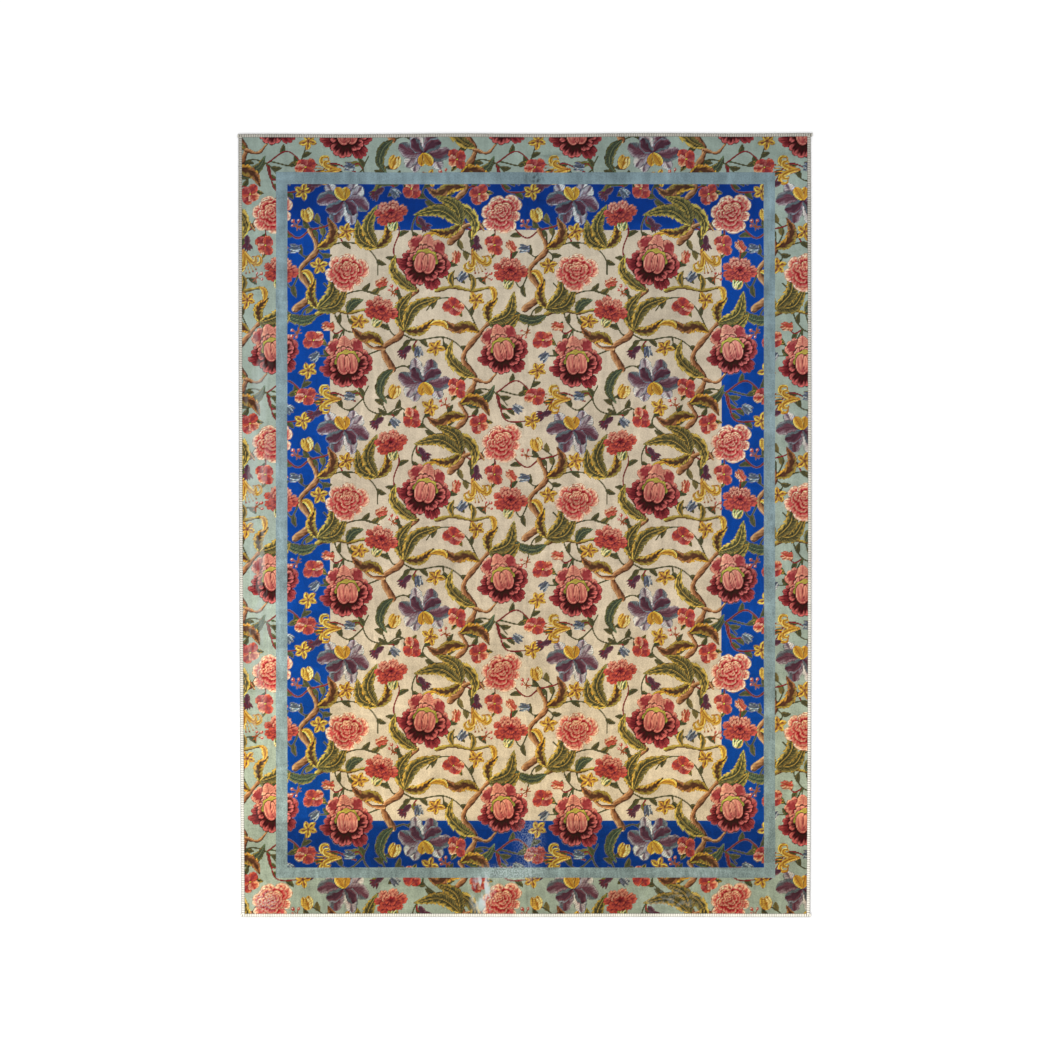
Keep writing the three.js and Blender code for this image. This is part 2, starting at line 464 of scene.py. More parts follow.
@dataclass(frozen=True)
class Blade:
    """A leaf, or a petal of its shape, along a curve.

    Args:
        width: Half its width at the widest, in millimetres.
        core: Dye beside the middle line.
        left: Dye of the outer part on the curve's left.
        right: Dye of the outer part on its right.
        rim: Dye along the edge.
        vein: Dye of the middle line.
        line: Dye of the outline.
        teeth: How many teeth go along each edge.
        bite: Depth of the teeth as a share of the width.
        peak: Where along the blade it is widest, as a power: below 1 nearer the foot.
        veins: How many brush strokes go along each side.
        full: How blunt the ends are, from 1 for pointed down to 0.5 for round.
        core_share: How far out the core reaches.
        edging: Strength of the rim.
        tip: Dye that the outer half turns to.
        ruffle: Depth of the soft waves of the edge.
        fine: Strength of the fine lines that run out from the middle line.
    """

    width: float
    core: Dye
    left: Dye
    right: Dye
    rim: Dye
    vein: Dye
    line: Dye = Dye.SOOT
    teeth: float = 0.0
    bite: float = 0.0
    peak: float = 0.8
    veins: float = 7.0
    full: float = 0.8
    core_share: float = 0.5
    edging: float = 0.8
    tip: Dye | None = None
    ruffle: float = 0.0
    fine: float = 0.0

    def print_on(self, tile: Tile, line: Line, under: bool = False) -> None:
        """Prints the blade along a curve, from its foot to its tip.

        Args:
            tile: The tile.
            line: The curve.
            under: Whether it goes beneath what is there already.
        """
        patch, along, across = line.measured(tile, self.width * 1.3 + 3)
        half = self.width * np.maximum(np.sin(math.pi * np.clip(along, 0, 1) ** self.peak), 0) ** self.full
        half = half * (1 + self.ruffle * np.sin(math.tau * (3.3 * along + np.where(across > 0, 0.2, 0.65))))
        reach = np.abs(across) / self.width
        saw = along * self.teeth + reach * 0.6 + 0.25 * np.sin(9 * along)
        depth = self.bite * (0.75 + 0.25 * np.sin(2.7 * np.floor(saw))) * np.where(across > 0, 1.0, 0.7)
        edge = half * (1 - depth * (saw % 1))
        outside = np.abs(across) - edge
        rise = np.abs(across) / np.maximum(half, 1.0)
        wave = np.sin(math.tau * (along * self.veins - reach * 0.8))
        colour = np.where((across > 0)[..., None], self.left.rgb, self.right.rgb)
        if self.tip:
            turned = ramp(0.42, 0.78, along + 0.1 * wave + np.where(across > 0, 0.1, -0.04))
            colour = mixed(colour, self.tip.rgb, turned)
        outer = ramp(self.core_share - 0.22, self.core_share + 0.22, rise + 0.14 * wave)
        colour = mixed(self.core.rgb, colour, outer)
        lit = np.where(across > 0, 1.0, 0.45)
        colour = mixed(colour, self.rim.rgb, self.edging * lit * ramp(0.7, 0.98, rise - 0.08 * wave))
        if self.fine:
            ribs = ramp(0.2, 0.9, np.sin(math.tau * (along * line.total / 6.5 - reach * 1.5)))
            ribs = self.fine * ribs * ramp(0.1, 0.35, rise) * (1 - ramp(0.75, 1.0, rise))
            colour = mixed(colour, self.vein.rgb, ribs)
        colour = mixed(colour, self.vein.rgb, 0.6 * (1 - ramp(0.5, 1.7, np.abs(across))))
        tile.lay(patch, outside - 1.0, self.line.rgb, 0.75, under)
        tile.lay(patch, outside, colour, 1.0, under)


@dataclass(frozen=True)
class Stroke:
    """A brush line, such as a stem, a branch or a tendril.

    Args:
        start: Half its width at the foot, in millimetres.
        end: Half its width at the tip, in millimetres.
        body: Dye of the line.
        lit: Dye of its lighter side.
        dark: Dye of its darker side and outline.
        knots: How many swellings go along it.
    """

    start: float
    end: float
    body: Dye
    lit: Dye
    dark: Dye
    knots: float = 0.0

    def print_on(self, tile: Tile, line: Line, under: bool = False) -> None:
        """Prints the line along a curve.

        Args:
            tile: The tile.
            line: The curve.
            under: Whether it goes beneath what is there already.
        """
        patch, along, across = line.measured(tile, max(self.start, self.end) * 1.5 + 2)
        half = self.start + (self.end - self.start) * along
        if self.knots:
            swelling = 0.2 * np.sin(math.tau * self.knots * along)
            half = half * (1 + swelling + 0.08 * np.sin(15 * self.knots * along + 1))
        outside = np.abs(across) - half
        side = across / np.maximum(half, 0.5)
        grain = 0.2 * np.sin(math.tau * (along * line.total / 22 + side * 0.5)) if self.knots else 0.0
        colour = mixed(self.body.rgb, self.lit.rgb, ramp(-0.1, 0.9, side + grain))
        colour = mixed(colour, self.dark.rgb, ramp(0.1, 0.9, -side + grain))
        tile.lay(patch, outside - 0.6, self.dark.rgb, 0.75, under)
        tile.lay(patch, outside, colour, 1.0, under)


PLUME_DARK = Blade(
    19, Dye.FOREST, Dye.MOSS, Dye.LEAF, Dye.OCHRE, Dye.MOSS,
    teeth=10, bite=0.36, veins=7, core_share=0.52, tip=Dye.OLIVE, fine=0.25,
)
PLUME_LIGHT = Blade(
    15, Dye.UMBER, Dye.MOSS, Dye.OLIVE, Dye.OCHRE, Dye.FOREST,
    teeth=9, bite=0.36, veins=6, core_share=0.4, tip=Dye.OCHRE, fine=0.35,
)
BIG_LEAF = Blade(
    17, Dye.FOREST, Dye.MOSS, Dye.LEAF, Dye.MOSS, Dye.MOSS,
    teeth=9, bite=0.36, veins=6, core_share=0.46, tip=Dye.MOSS, fine=0.25,
)
GOLD_LEAF = Blade(
    17, Dye.UMBER, Dye.OCHRE, Dye.OLIVE, Dye.GOLD, Dye.UMBER, Dye.UMBER,
    teeth=9, bite=0.36, veins=5, core_share=0.4, tip=Dye.TERRACOTTA, fine=0.35,
)
DARK_LEAF = Blade(
    15, Dye.PINE, Dye.LEAF, Dye.FOREST, Dye.OLIVE, Dye.SAGE,
    teeth=7, bite=0.32, veins=5, core_share=0.6, fine=0.3,
)
SMALL_LEAF = Blade(
    6.5, Dye.PINE, Dye.MOSS, Dye.LEAF, Dye.SAGE, Dye.FOREST, Dye.FOREST,
    veins=3, core_share=0.4, fine=0.3,
)
LIME_LEAF = Blade(
    8.0, Dye.LEAF, Dye.MOSS, Dye.OLIVE, Dye.GOLD, Dye.FOREST, Dye.LEAF,
    teeth=6, bite=0.22, veins=3, fine=0.2,
)
CURLED_TIP = Blade(
    8.5, Dye.OCHRE, Dye.GOLD, Dye.OCHRE, Dye.STRAW, Dye.RUST, Dye.UMBER,
    veins=6, peak=1.1, core_share=0.4,
)
BARK = Stroke(8.5, 6.0, Dye.TERRACOTTA, Dye.CLAY, Dye.UMBER, knots=3)
TWIG = Stroke(5.0, 2.6, Dye.TERRACOTTA, Dye.CLAY, Dye.UMBER, knots=2)
MOSSY = Stroke(5.5, 4.0, Dye.OLIVE, Dye.MOSS, Dye.UMBER, knots=3)
GREEN_STEM = Stroke(1.8, 1.3, Dye.LEAF, Dye.SAGE, Dye.FOREST)
RED_STEM = Stroke(1.9, 1.3, Dye.RUST, Dye.SALMON, Dye.MAROON)


@dataclass(frozen=True)
class Motif:
    """A flower or fruit at a place of the tile.

    Args:
        x: Its centre across the tile, in millimetres.
        y: Its centre up the tile, in millimetres.
        size: Its radius, in millimetres.
        turn: How far it is turned, in degrees.

    A kind of flower may have layers of petals: for each layer, a blade whose width is a share of the size,
    where it starts as a share of the size, and the rays that it is printed along.
    """

    x: float
    y: float
    size: float = 20.0
    turn: float = 0.0
    layers: ClassVar[tuple[tuple, ...]] = ()

    def print_on(self, tile: Tile) -> None:
        """Prints the layers of petals from the back to the front.

        Args:
            tile: The tile.
        """
        for blade, near, *rays in self.layers:
            self.fan(tile, replace(blade, width=blade.width * self.size), near, *rays)

    def spot(self, along: float, aside: float) -> Place:
        """A place measured from the motif's centre, along and to the left of its own direction."""
        cos, sin = math.cos(math.radians(self.turn)), math.sin(math.radians(self.turn))
        return self.x + cos * along - sin * aside, self.y + sin * along + cos * aside

    def ray(self, angle: float, near: float, far: float, curl: float = 0.0) -> Line:
        """A curve outwards from the motif.

        Args:
            angle: Its direction from the motif's own, in degrees.
            near: Distance of its foot from the centre, in millimetres.
            far: Distance of its tip from the centre.
            curl: How far it bends to its left.

        Returns:
            The curve.
        """
        spread = math.radians(angle)
        cos, sin = math.cos(spread), math.sin(spread)
        ends = [(near, 0.0), ((near + far) / 2, curl * 0.6), (far, -curl * 0.4)]
        return Line(tuple(self.spot(a * cos - b * sin, a * sin + b * cos) for a, b in ends))

    def fan(self, tile: Tile, blade: Blade, near: float, *rays: tuple[float, float, float]) -> None:
        """Prints blades that spread from the motif's middle.

        Args:
            tile: The tile.
            blade: How each of them is printed.
            near: Where they start, as a share of the size.
            rays: For each blade, its angle in degrees, its reach as a share of the size, and its curl.
        """
        for angle, reach, curl in rays:
            blade.print_on(tile, self.ray(angle, near * self.size, reach * self.size, curl))


@dataclass(frozen=True)
class Peony(Motif):
    """A full dark flower, paler above, with ruffled petals and a striped bud at its heart."""

    size: float = 72.0

    def print_on(self, tile: Tile) -> None:
        """Prints the rings from the outside in, then the heart.

        Args:
            tile: The tile.
        """
        size = self.size
        patch = tile.patch(self.x, self.y, size * 1.25, self.turn)
        dark = (Dye.WINE, Dye.MAROON, Dye.MADDER)
        pale = (Dye.MAROON, Dye.MADDER, Dye.SALMON)
        deep = (Dye.SOOT, Dye.WINE, Dye.ROSE)
        outer = Ring(6, 1.00, 0.60, dark, pale, turn=0.5, lift=-0.03, threads=54)
        outer.print_on(tile, patch, size, Dye.WINE, Dye.WINE)
        side_crest = Blade(
            0.36 * size, Dye.MADDER, Dye.SALMON, Dye.ROSE, Dye.SALMON, Dye.MADDER, Dye.MAROON,
            veins=5, full=0.42, peak=1.1, edging=0.5, ruffle=0.10, fine=0.4,
        )
        crest = Blade(
            0.30 * size, Dye.SALMON, Dye.APRICOT, Dye.SALMON, Dye.SALMON, Dye.ROSE, Dye.MAROON,
            veins=3, full=0.5, peak=0.9, edging=0.6, ruffle=0.08, fine=0.35,
        )
        self.fan(tile, side_crest, 0.0, (128, 0.98, -8), (56, 0.98, 8))
        self.fan(tile, crest, 0.0, (92, 1.04, 2))
        middle = Ring(5, 0.75, 0.50, deep, pale, turn=1.5, lift=-0.13, shadow=0.06, threads=44)
        middle.print_on(tile, patch, size, Dye.SOOT, Dye.WINE)
        tile.dot(patch, 0.46 * size, Dye.SOOT, 0.75, (0.0, -0.07 * size))
        self.heart(tile, patch)

    def heart(self, tile: Tile, patch: Patch) -> None:
        """Prints the round bud of three striped lobes, under a green collar.

        Args:
            tile: The tile.
            patch: The flower's patch.
        """
        size, x, y = self.size * 1.18, patch.x, patch.y
        collar = np.hypot(x / 1.05, y - 0.05 * size) - size * (0.37 + 0.02 * np.sin(9 * np.arctan2(y, x)))
        collar = np.maximum(collar, -y)
        tile.lay(patch, collar - 0.8, Dye.FOREST.rgb)
        tile.lay(patch, collar, mixed(Dye.OLIVE.rgb, Dye.MOSS.rgb, ramp(0.2, 0.35, y / size)))
        for centre, lobe_width, lobe_height in ((-0.13, 0.20, 0.32), (0.13, 0.20, 0.32), (0.0, 0.09, 0.26)):
            dx, dy = (x / size - centre) / lobe_width, (y / size + 0.03) / lobe_height
            outside = (np.hypot(dx, dy) - 1) * lobe_width * size
            stripes = 0.5 + 0.5 * np.sin(dx * 9 + 1)
            colour = mixed(Dye.APRICOT.rgb, Dye.ROSE.rgb, 0.25 + 0.55 * stripes * ramp(-1.4, 0.0, -dy))
            colour = mixed(colour, Dye.MADDER.rgb, 0.8 * ramp(0.0, 1.0, -dy))
            colour = mixed(colour, Dye.SALMON.rgb, ramp(0.78, 0.97, np.hypot(dx, dy)) * 0.6)
            tile.lay(patch, outside - 1.3, Dye.MAROON.rgb)
            tile.lay(patch, outside, colour)


@dataclass(frozen=True)
class Rose(Motif):
    """A pale open rose whose petals are shaded from below in crimson."""

    size: float = 57.0

    def print_on(self, tile: Tile) -> None:
        """Prints the rings from the outside in.

        Args:
            tile: The tile.
        """
        patch = tile.patch(self.x, self.y, self.size * 1.2, self.turn)
        radii = (1.0, 0.80, 0.63, 0.48, 0.35, 0.23, 0.12, 0.0)
        petals = (6, 5, 5, 4, 4, 3, 2)
        for k, (count, radius, following) in enumerate(zip(petals, radii, radii[1:])):
            lower = (Dye.CRIMSON, Dye.BLUSH, Dye.SALMON) if k else (Dye.BLUSH, Dye.APRICOT, Dye.SHELL)
            upper = (lower[0], lower[1], Dye.SHELL if k < 2 else Dye.APRICOT)
            ring = Ring(
                count, radius, following / radius - 0.04, lower, upper, turn=1.3 * k + 0.2, lift=0.03 * k,
                notch=0.22, scallops=2, ruffle=0.05, crease=0.22, shadow=0.02, uneven=0.10, threads=30,
            )
            ring.print_on(tile, patch, self.size, Dye.CRIMSON, Dye.CRIMSON if k else Dye.CLAY)


@dataclass(frozen=True)
class Carnation(Motif):
    """A fringed pink-red flower on a pale cup."""

    size: float = 40.0

    def print_on(self, tile: Tile) -> None:
        """Prints the rings, then the cup.

        Args:
            tile: The tile.
        """
        size = self.size
        patch = tile.patch(self.x, self.y, size * 1.25, self.turn)
        red = (Dye.WINE, Dye.MADDER, Dye.CORAL)
        bright = (Dye.MAROON, Dye.CRIMSON, Dye.SALMON)
        for petals, radius, inner, turn, lift in (
            (7, 1.10, 0.30, 0.2, -0.14),
            (5, 0.80, 0.22, 1.0, -0.10),
            (3, 0.48, 0.1, 0.3, 0.0),
        ):
            ring = Ring(
                petals, radius, inner, red, bright, turn, lift,
                notch=0.24, ruffle=0.12, crease=0.6, shadow=0.04, uneven=0.09, droop=1.3, threads=40,
            )
            ring.print_on(tile, patch, size, Dye.MAROON, Dye.MADDER)
        cup = Blade(0.20 * size, Dye.SAGE, Dye.STRAW, Dye.MOSS, Dye.SHELL, Dye.LEAF, Dye.LEAF, veins=3)
        foot = self.spot(0, -1.35 * size)
        for side in (-0.32, 0.0, 0.32):
            middle, top = self.spot(side * 0.4 * size, -1.08 * size), self.spot(side * size, -0.72 * size)
            cup.print_on(tile, Line((foot, middle, top)))


@dataclass(frozen=True)
class Iris(Motif):
    """A loose grey-purple flower with two yellow petals."""

    size: float = 68.0
    layers = (
        (
            Blade(0.26, Dye.MAUVE, Dye.LILAC, Dye.MIST, Dye.SLATE, Dye.SLATE, Dye.PLUM, peak=1.25, veins=2,
                  full=0.5, ruffle=0.08, edging=0.6, core_share=0.3, fine=0.3),
            0.05, (-52, 0.98, 9), (-132, 0.88, -9), (100, 1.06, 7), (204, 0.92, -10),
        ),
        (
            Blade(0.28, Dye.GRAPE, Dye.MAUVE, Dye.SLATE, Dye.LILAC, Dye.PLUM, Dye.PLUM, peak=1.3, veins=2,
                  full=0.48, core_share=0.45, ruffle=0.07, edging=0.8, fine=0.3),
            0.04, (-10, 1.10, -12), (152, 1.06, 12), (56, 1.00, -10),
        ),
        (
            Blade(0.24, Dye.PLUM, Dye.GRAPE, Dye.SLATE, Dye.SKY, Dye.PLUM, Dye.PLUM, peak=1.3, veins=2,
                  full=0.5, core_share=0.45, ruffle=0.07, edging=0.75, fine=0.3),
            0.02, (22, 0.84, 9), (116, 0.74, 8),
        ),
        (
            Blade(0.19, Dye.OCHRE, Dye.GOLD, Dye.OCHRE, Dye.STRAW, Dye.RUST, Dye.UMBER, peak=1.2, veins=4,
                  full=0.5),
            0.0, (-112, 0.55, 0), (-68, 0.62, 0),
        ),
    )


@dataclass(frozen=True)
class Blossom(Motif):
    """A small brick-red flower of a few round petals."""

    size: float = 29.0
    petals: int = 4

    def print_on(self, tile: Tile) -> None:
        """Prints the sepal, the petals and the eye.

        Args:
            tile: The tile.
        """
        sepal = Blade(
            0.24 * self.size, Dye.FOREST, Dye.LEAF, Dye.OLIVE, Dye.MOSS, Dye.FOREST, Dye.FOREST, veins=2
        )
        self.fan(tile, sepal, 0.2, (360 / self.petals * 1.5, 1.3, 3))
        tones = (
            (Dye.MADDER, Dye.CORAL, Dye.ROSE, Dye.PEACH),
            (Dye.CORAL, Dye.PEACH, Dye.SALMON, Dye.SHELL),
            (Dye.MADDER, Dye.CORAL, Dye.CORAL, Dye.SALMON),
        )
        for k in range(self.petals):
            width = (0.52 + 0.08 * math.sin(2.3 * k)) * self.size
            petal = Blade(
                width, *tones[(k + round(self.x)) % 3], Dye.MADDER, Dye.MAROON,
                veins=2, peak=1.25, full=0.42, core_share=0.35, edging=0.6, ruffle=0.07, fine=0.3,
            )
            angle = 360 * k / self.petals + 12 * math.sin(2.1 * k + self.x)
            petal.print_on(tile, self.ray(angle, 0, self.size * (0.94 + 0.12 * math.sin(3.7 * k + 1)), 3))
        patch = tile.patch(self.x, self.y, self.size * 0.4, self.turn)
        tile.dot(patch, 0.11 * self.size, Dye.MAROON, 0.8)
        tile.dot(patch, 0.07 * self.size, Dye.GOLD)


@dataclass(frozen=True)
class Star(Motif):
    """A small yellow-orange flower with pointed petals."""

    size: float = 25.0
    petals: int = 5

    def print_on(self, tile: Tile) -> None:
        """Prints the petals and the eye.

        Args:
            tile: The tile.
        """
        petal = Blade(
            0.29 * self.size, Dye.TERRACOTTA, Dye.GOLD, Dye.OCHRE, Dye.CLAY, Dye.RUST, Dye.RUST,
            veins=2, peak=1.05, core_share=0.35, edging=0.6,
        )
        for k in range(self.petals):
            reach = self.size * (1 + 0.12 * math.sin(2.9 * k + self.y))
            petal.print_on(tile, self.ray(360 * k / self.petals + 8 * math.sin(1.7 * k), 0.5, reach, 2))
        patch = tile.patch(self.x, self.y, self.size * 0.5, self.turn)
        tile.dot(patch, 0.22 * self.size, Dye.TERRACOTTA, 0.9)
        tile.dot(patch, 0.08 * self.size, Dye.WINE)


@dataclass(frozen=True)
class Bell(Motif):
    """A small blue-grey bell with pointed lips."""

    layers = ((
        Blade(0.32, Dye.SLATE, Dye.SKY, Dye.DUSK, Dye.MIST, Dye.DUSK, Dye.SLATE, veins=2, peak=0.9,
              fine=0.3),
        -0.7, (-40, 0.95, -4), (40, 0.95, 4), (0, 0.95, 0),
    ),)


@dataclass(frozen=True)
class Thistle(Motif):
    """A dark purple bud with a spiky head."""

    size: float = 23.0
    layers = (
        (
            Blade(0.14, Dye.PLUM, Dye.GRAPE, Dye.MAROON, Dye.GRAPE, Dye.PLUM, Dye.PLUM, veins=2),
            0.0, *((angle, 1.0, angle * 0.04) for angle in (-44, -20, 0, 20, 44)),
        ),
        (
            Blade(0.36, Dye.PLUM, Dye.GRAPE, Dye.PLUM, Dye.MAUVE, Dye.PLUM, Dye.PLUM, teeth=4, bite=0.3,
                  veins=4),
            -1.0, (0, 0.5, 0),
        ),
    )


@dataclass(frozen=True)
class YellowBud(Motif):
    """A half-open yellow bud of three petals."""

    size: float = 23.0
    layers = ((
        Blade(0.50, Dye.OCHRE, Dye.GOLD, Dye.STRAW, Dye.GOLD, Dye.RUST, Dye.RUST, veins=2, full=0.5,
              core_share=0.4, fine=0.3),
        -0.75, (-30, 0.95, -8), (30, 0.95, 8), (0, 0.7, 0),
    ),)


@dataclass(frozen=True)
class RoseBud(Motif):
    """A small peach bud of overlapping scales."""

    size: float = 21.0
    layers = ((
        Blade(0.30, Dye.CORAL, Dye.PEACH, Dye.CORAL, Dye.SHELL, Dye.RUST, Dye.RUST, veins=3, full=0.6),
        -0.75, (-46, 0.85, -5), (46, 0.85, 5), (-16, 1.0, -2), (16, 1.0, 2), (0, 0.62, 0),
    ),)


@dataclass(frozen=True)
class Tendril(Motif):
    """An ochre bloom of curled lips with dotted stamens, as on honeysuckle."""

    size: float = 42.0

    def print_on(self, tile: Tile) -> None:
        """Prints the stamens, then the curls.

        Args:
            tile: The tile.
        """
        thread = Stroke(0.8, 0.8, Dye.OCHRE, Dye.OCHRE, Dye.RUST)
        for angle in (-20, -7, 7, 20):
            line = self.ray(angle, 0, 1.1 * self.size, angle * 0.1)
            thread.print_on(tile, line)
            tile.dot(tile.patch(*line.points[-1], 6), 2.6, Dye.RUST)
        curl = Blade(
            0.14 * self.size, Dye.OCHRE, Dye.GOLD, Dye.OCHRE, Dye.STRAW, Dye.RUST, Dye.RUST,
            veins=4, full=0.6, peak=0.85,
        )
        hook = (
            (-0.6, 0), (-0.05, 0.12), (0.42, 0.34), (0.74, 0.62), (0.66, 0.98), (0.32, 1.02), (0.2, 0.76),
        )
        for side in (-1, 1):
            for reach, spread in ((1.0, 0.85), (0.72, 0.55)):
                route = (self.spot(a * reach * self.size, b * spread * side * self.size) for a, b in hook)
                curl.print_on(tile, Line(tuple(route)))


@dataclass(frozen=True)
class Berries(Motif):
    """A few red berries on hair-thin stalks."""

    size: float = 18.0

    def print_on(self, tile: Tile) -> None:
        """Prints the stalks and the berries.

        Args:
            tile: The tile.
        """
        stalk = Stroke(0.9, 0.9, Dye.RUST, Dye.RUST, Dye.RUST)
        for angle, reach, radius in ((-48, 0.9, 4.2), (4, 1.1, 5.0), (46, 0.8, 3.8)):
            line = self.ray(angle, -0.6 * self.size, reach * self.size, 2)
            stalk.print_on(tile, line)
            patch = tile.patch(*line.points[-1], radius + 3)
            tile.dot(patch, radius, Dye.CORAL)
            tile.dot(patch, radius * 0.4, Dye.SHELL, 0.8, (-radius * 0.3, radius * 0.3))


@dataclass(frozen=True)
class Plume(Motif):
    """Three long toothed leaves that spring from one foot, and lean to one side or the other."""

    size: float = 150.0
    lean: float = 1.0

    def print_on(self, tile: Tile) -> None:
        """Prints the leaves from the back to the front, and the curled tip of the last.

        Args:
            tile: The tile.
        """
        for blade, angle, reach, curl in (
            (PLUME_LIGHT, -36, 0.66, -20),
            (PLUME_DARK, 32, 0.80, 30),
            (PLUME_DARK, -4, 1.0, 34),
        ):
            self.fan(tile, blade, 0.0, (angle * self.lean, reach, curl * self.lean))
        hook = ((0.50, -0.42), (0.66, -0.52), (0.76, -0.70), (0.70, -0.86))
        route = (self.spot(a * 0.8 * self.size, b * 0.8 * self.lean * self.size) for a, b in hook)
        CURLED_TIP.print_on(tile, Line(tuple(route)))


def grow(
    tile: Tile, line: Line, stem: Stroke, leaves: tuple[tuple[float, int], ...], blade: Blade, reach: float
) -> None:
    """Prints a stem beneath what is there, with leaves along it.

    Args:
        tile: The tile.
        line: The stem's curve.
        stem: How the stem is printed.
        leaves: For each leaf, its share along the stem and its side, 1 or -1.
        blade: How the leaves are printed.
        reach: Length of a leaf, in millimetres.
    """
    stem.print_on(tile, line, under=True)
    for share, side in leaves:
        x, y, heading = line.at(share)
        lean = math.radians(heading + side * 42)
        tip = (x + reach * math.cos(lean), y + reach * math.sin(lean))
        swing = math.radians(heading + side * 18)
        bend = (x + 0.5 * reach * math.cos(swing), y + 0.5 * reach * math.sin(swing))
        middle = ((x + tip[0] + 2 * bend[0]) / 4, (y + tip[1] + 2 * bend[1]) / 4)
        blade.print_on(tile, Line(((x, y), middle, tip)), under=True)


BRANCHES: tuple[tuple[Stroke, Route], ...] = (
    (BARK, ((232, 132), (206, 190), (256, 232), (246, 296), (300, 352))),
    (TWIG, ((206, 190), (168, 196), (140, 232))),
    (BARK, ((430, 40), (462, 104), (428, 164), (474, 232), (500, 262))),
    (TWIG, ((462, 104), (496, 96), (520, 120))),
    (BARK, ((600, 300), (646, 344), (614, 408), (660, 466), (640, 520))),
    (BARK, ((392, 486), (430, 530), (398, 588), (436, 636), (420, 676))),
    (TWIG, ((430, 530), (466, 540), (486, 520))),
    (MOSSY, ((354, 352), (400, 362), (452, 352), (500, 360))),
    (MOSSY, ((20, 286), (60, 300), (104, 290), (150, 298))),
)

LEAVES: tuple[tuple[Blade, Route], ...] = (
    (GOLD_LEAF, ((206, 200), (176, 222), (144, 222), (116, 250))),
    (BIG_LEAF, ((300, 350), (262, 372), (232, 410), (240, 452))),
    (BIG_LEAF, ((462, 110), (424, 128), (390, 168), (398, 214))),
    (GOLD_LEAF, ((474, 236), (440, 252), (404, 246), (372, 270))),
    (DARK_LEAF, ((430, 40), (462, 36), (498, 56), (516, 88))),
    (GOLD_LEAF, ((660, 470), (694, 486), (706, 520), (690, 556))),
    (BIG_LEAF, ((398, 590), (440, 574), (462, 536), (452, 494))),
    (GOLD_LEAF, ((436, 640), (394, 640), (356, 622), (326, 640))),
    (DARK_LEAF, ((20, 282), (-14, 268), (-50, 276), (-74, 300))),
    (DARK_LEAF, ((232, 132), (206, 108), (196, 70), (216, 36))),
    (GOLD_LEAF, ((420, 676), (450, 690), (484, 676), (502, 642))),
    (LIME_LEAF, ((452, 352), (458, 376), (450, 398))),
    (LIME_LEAF, ((400, 362), (392, 386), (404, 408))),
    (LIME_LEAF, ((60, 300), (52, 322), (62, 346))),
    (DARK_LEAF, ((104, 290), (120, 316), (150, 326))),
)

PLUMES: tuple[Plume, ...] = (
    Plume(262, 240, 138, 52, 1),
    Plume(424, 534, 136, 158, -1),
    Plume(20, 300, 128, 62, -1),
    Plume(500, 262, 112, 40, -1),
    Plume(188, 470, 120, 100, 1),
)

FLOWERS: tuple[Motif, ...] = (
    Peony(105, 150, 73, 6),
    Peony(322, 432, 74, -10),
    Peony(540, 186, 71, 14),
    Rose(104, 404, 57, 0),
    Rose(536, 566, 57, 30),
    Iris(318, 96, 68, 12),
    Iris(96, 604, 68, 190),
    Carnation(200, 300, 40, -20),
    Carnation(560, 410, 41, -8),
    Carnation(226, 570, 39, 10),
)

VINES: tuple[Route, ...] = (
    ((256, 232), (300, 214), (372, 222), (420, 196), (440, 156)),
    ((140, 232), (96, 244), (70, 292), (96, 338), (150, 352), (196, 338)),
    ((474, 232), (440, 300), (400, 330), (352, 326), (326, 296)),
    ((398, 588), (350, 590), (300, 562), (286, 516), (312, 486)),
    ((40, 470), (92, 486), (150, 476), (186, 440), (190, 396)),
    ((256, 20), (216, 6), (170, 16), (150, 50), (164, 86)),
    ((430, 676), (470, 716), (520, 706), (552, 672)),
)

STEMS: tuple[Route, ...] = (
    ((300, 352), (290, 390), (322, 432)),
    ((206, 190), (170, 176), (105, 150)),
    ((500, 262), (530, 240), (540, 186)),
    ((40, 372), (70, 350), (104, 404)),
    ((640, 520), (600, 500), (536, 566)),
    ((232, 132), (270, 140), (318, 96)),
    ((0, 520), (60, 540), (96, 604)),
    ((256, 232), (230, 232), (200, 300)),
    ((300, 352), (236, 450), (250, 520), (226, 570)),
    ((614, 408), (588, 360), (560, 410)),
    ((430, 530), (470, 520), (536, 566)),
)

FILLERS: tuple[type[Motif], ...] = (
    Blossom, Tendril, Blossom, Star, Blossom, YellowBud, Blossom, Star, Tendril, Blossom,
    Bell, Thistle, Blossom, RoseBud, Star, Bell, Star, Thistle, RoseBud, Blossom,
    YellowBud, Bell, Star, Berries, RoseBud, Star, Bell, Thistle, Berries, Star,
    Bell, Berries, RoseBud, Bell, Berries, Thistle, Star, Berries, Bell, Thistle,
)


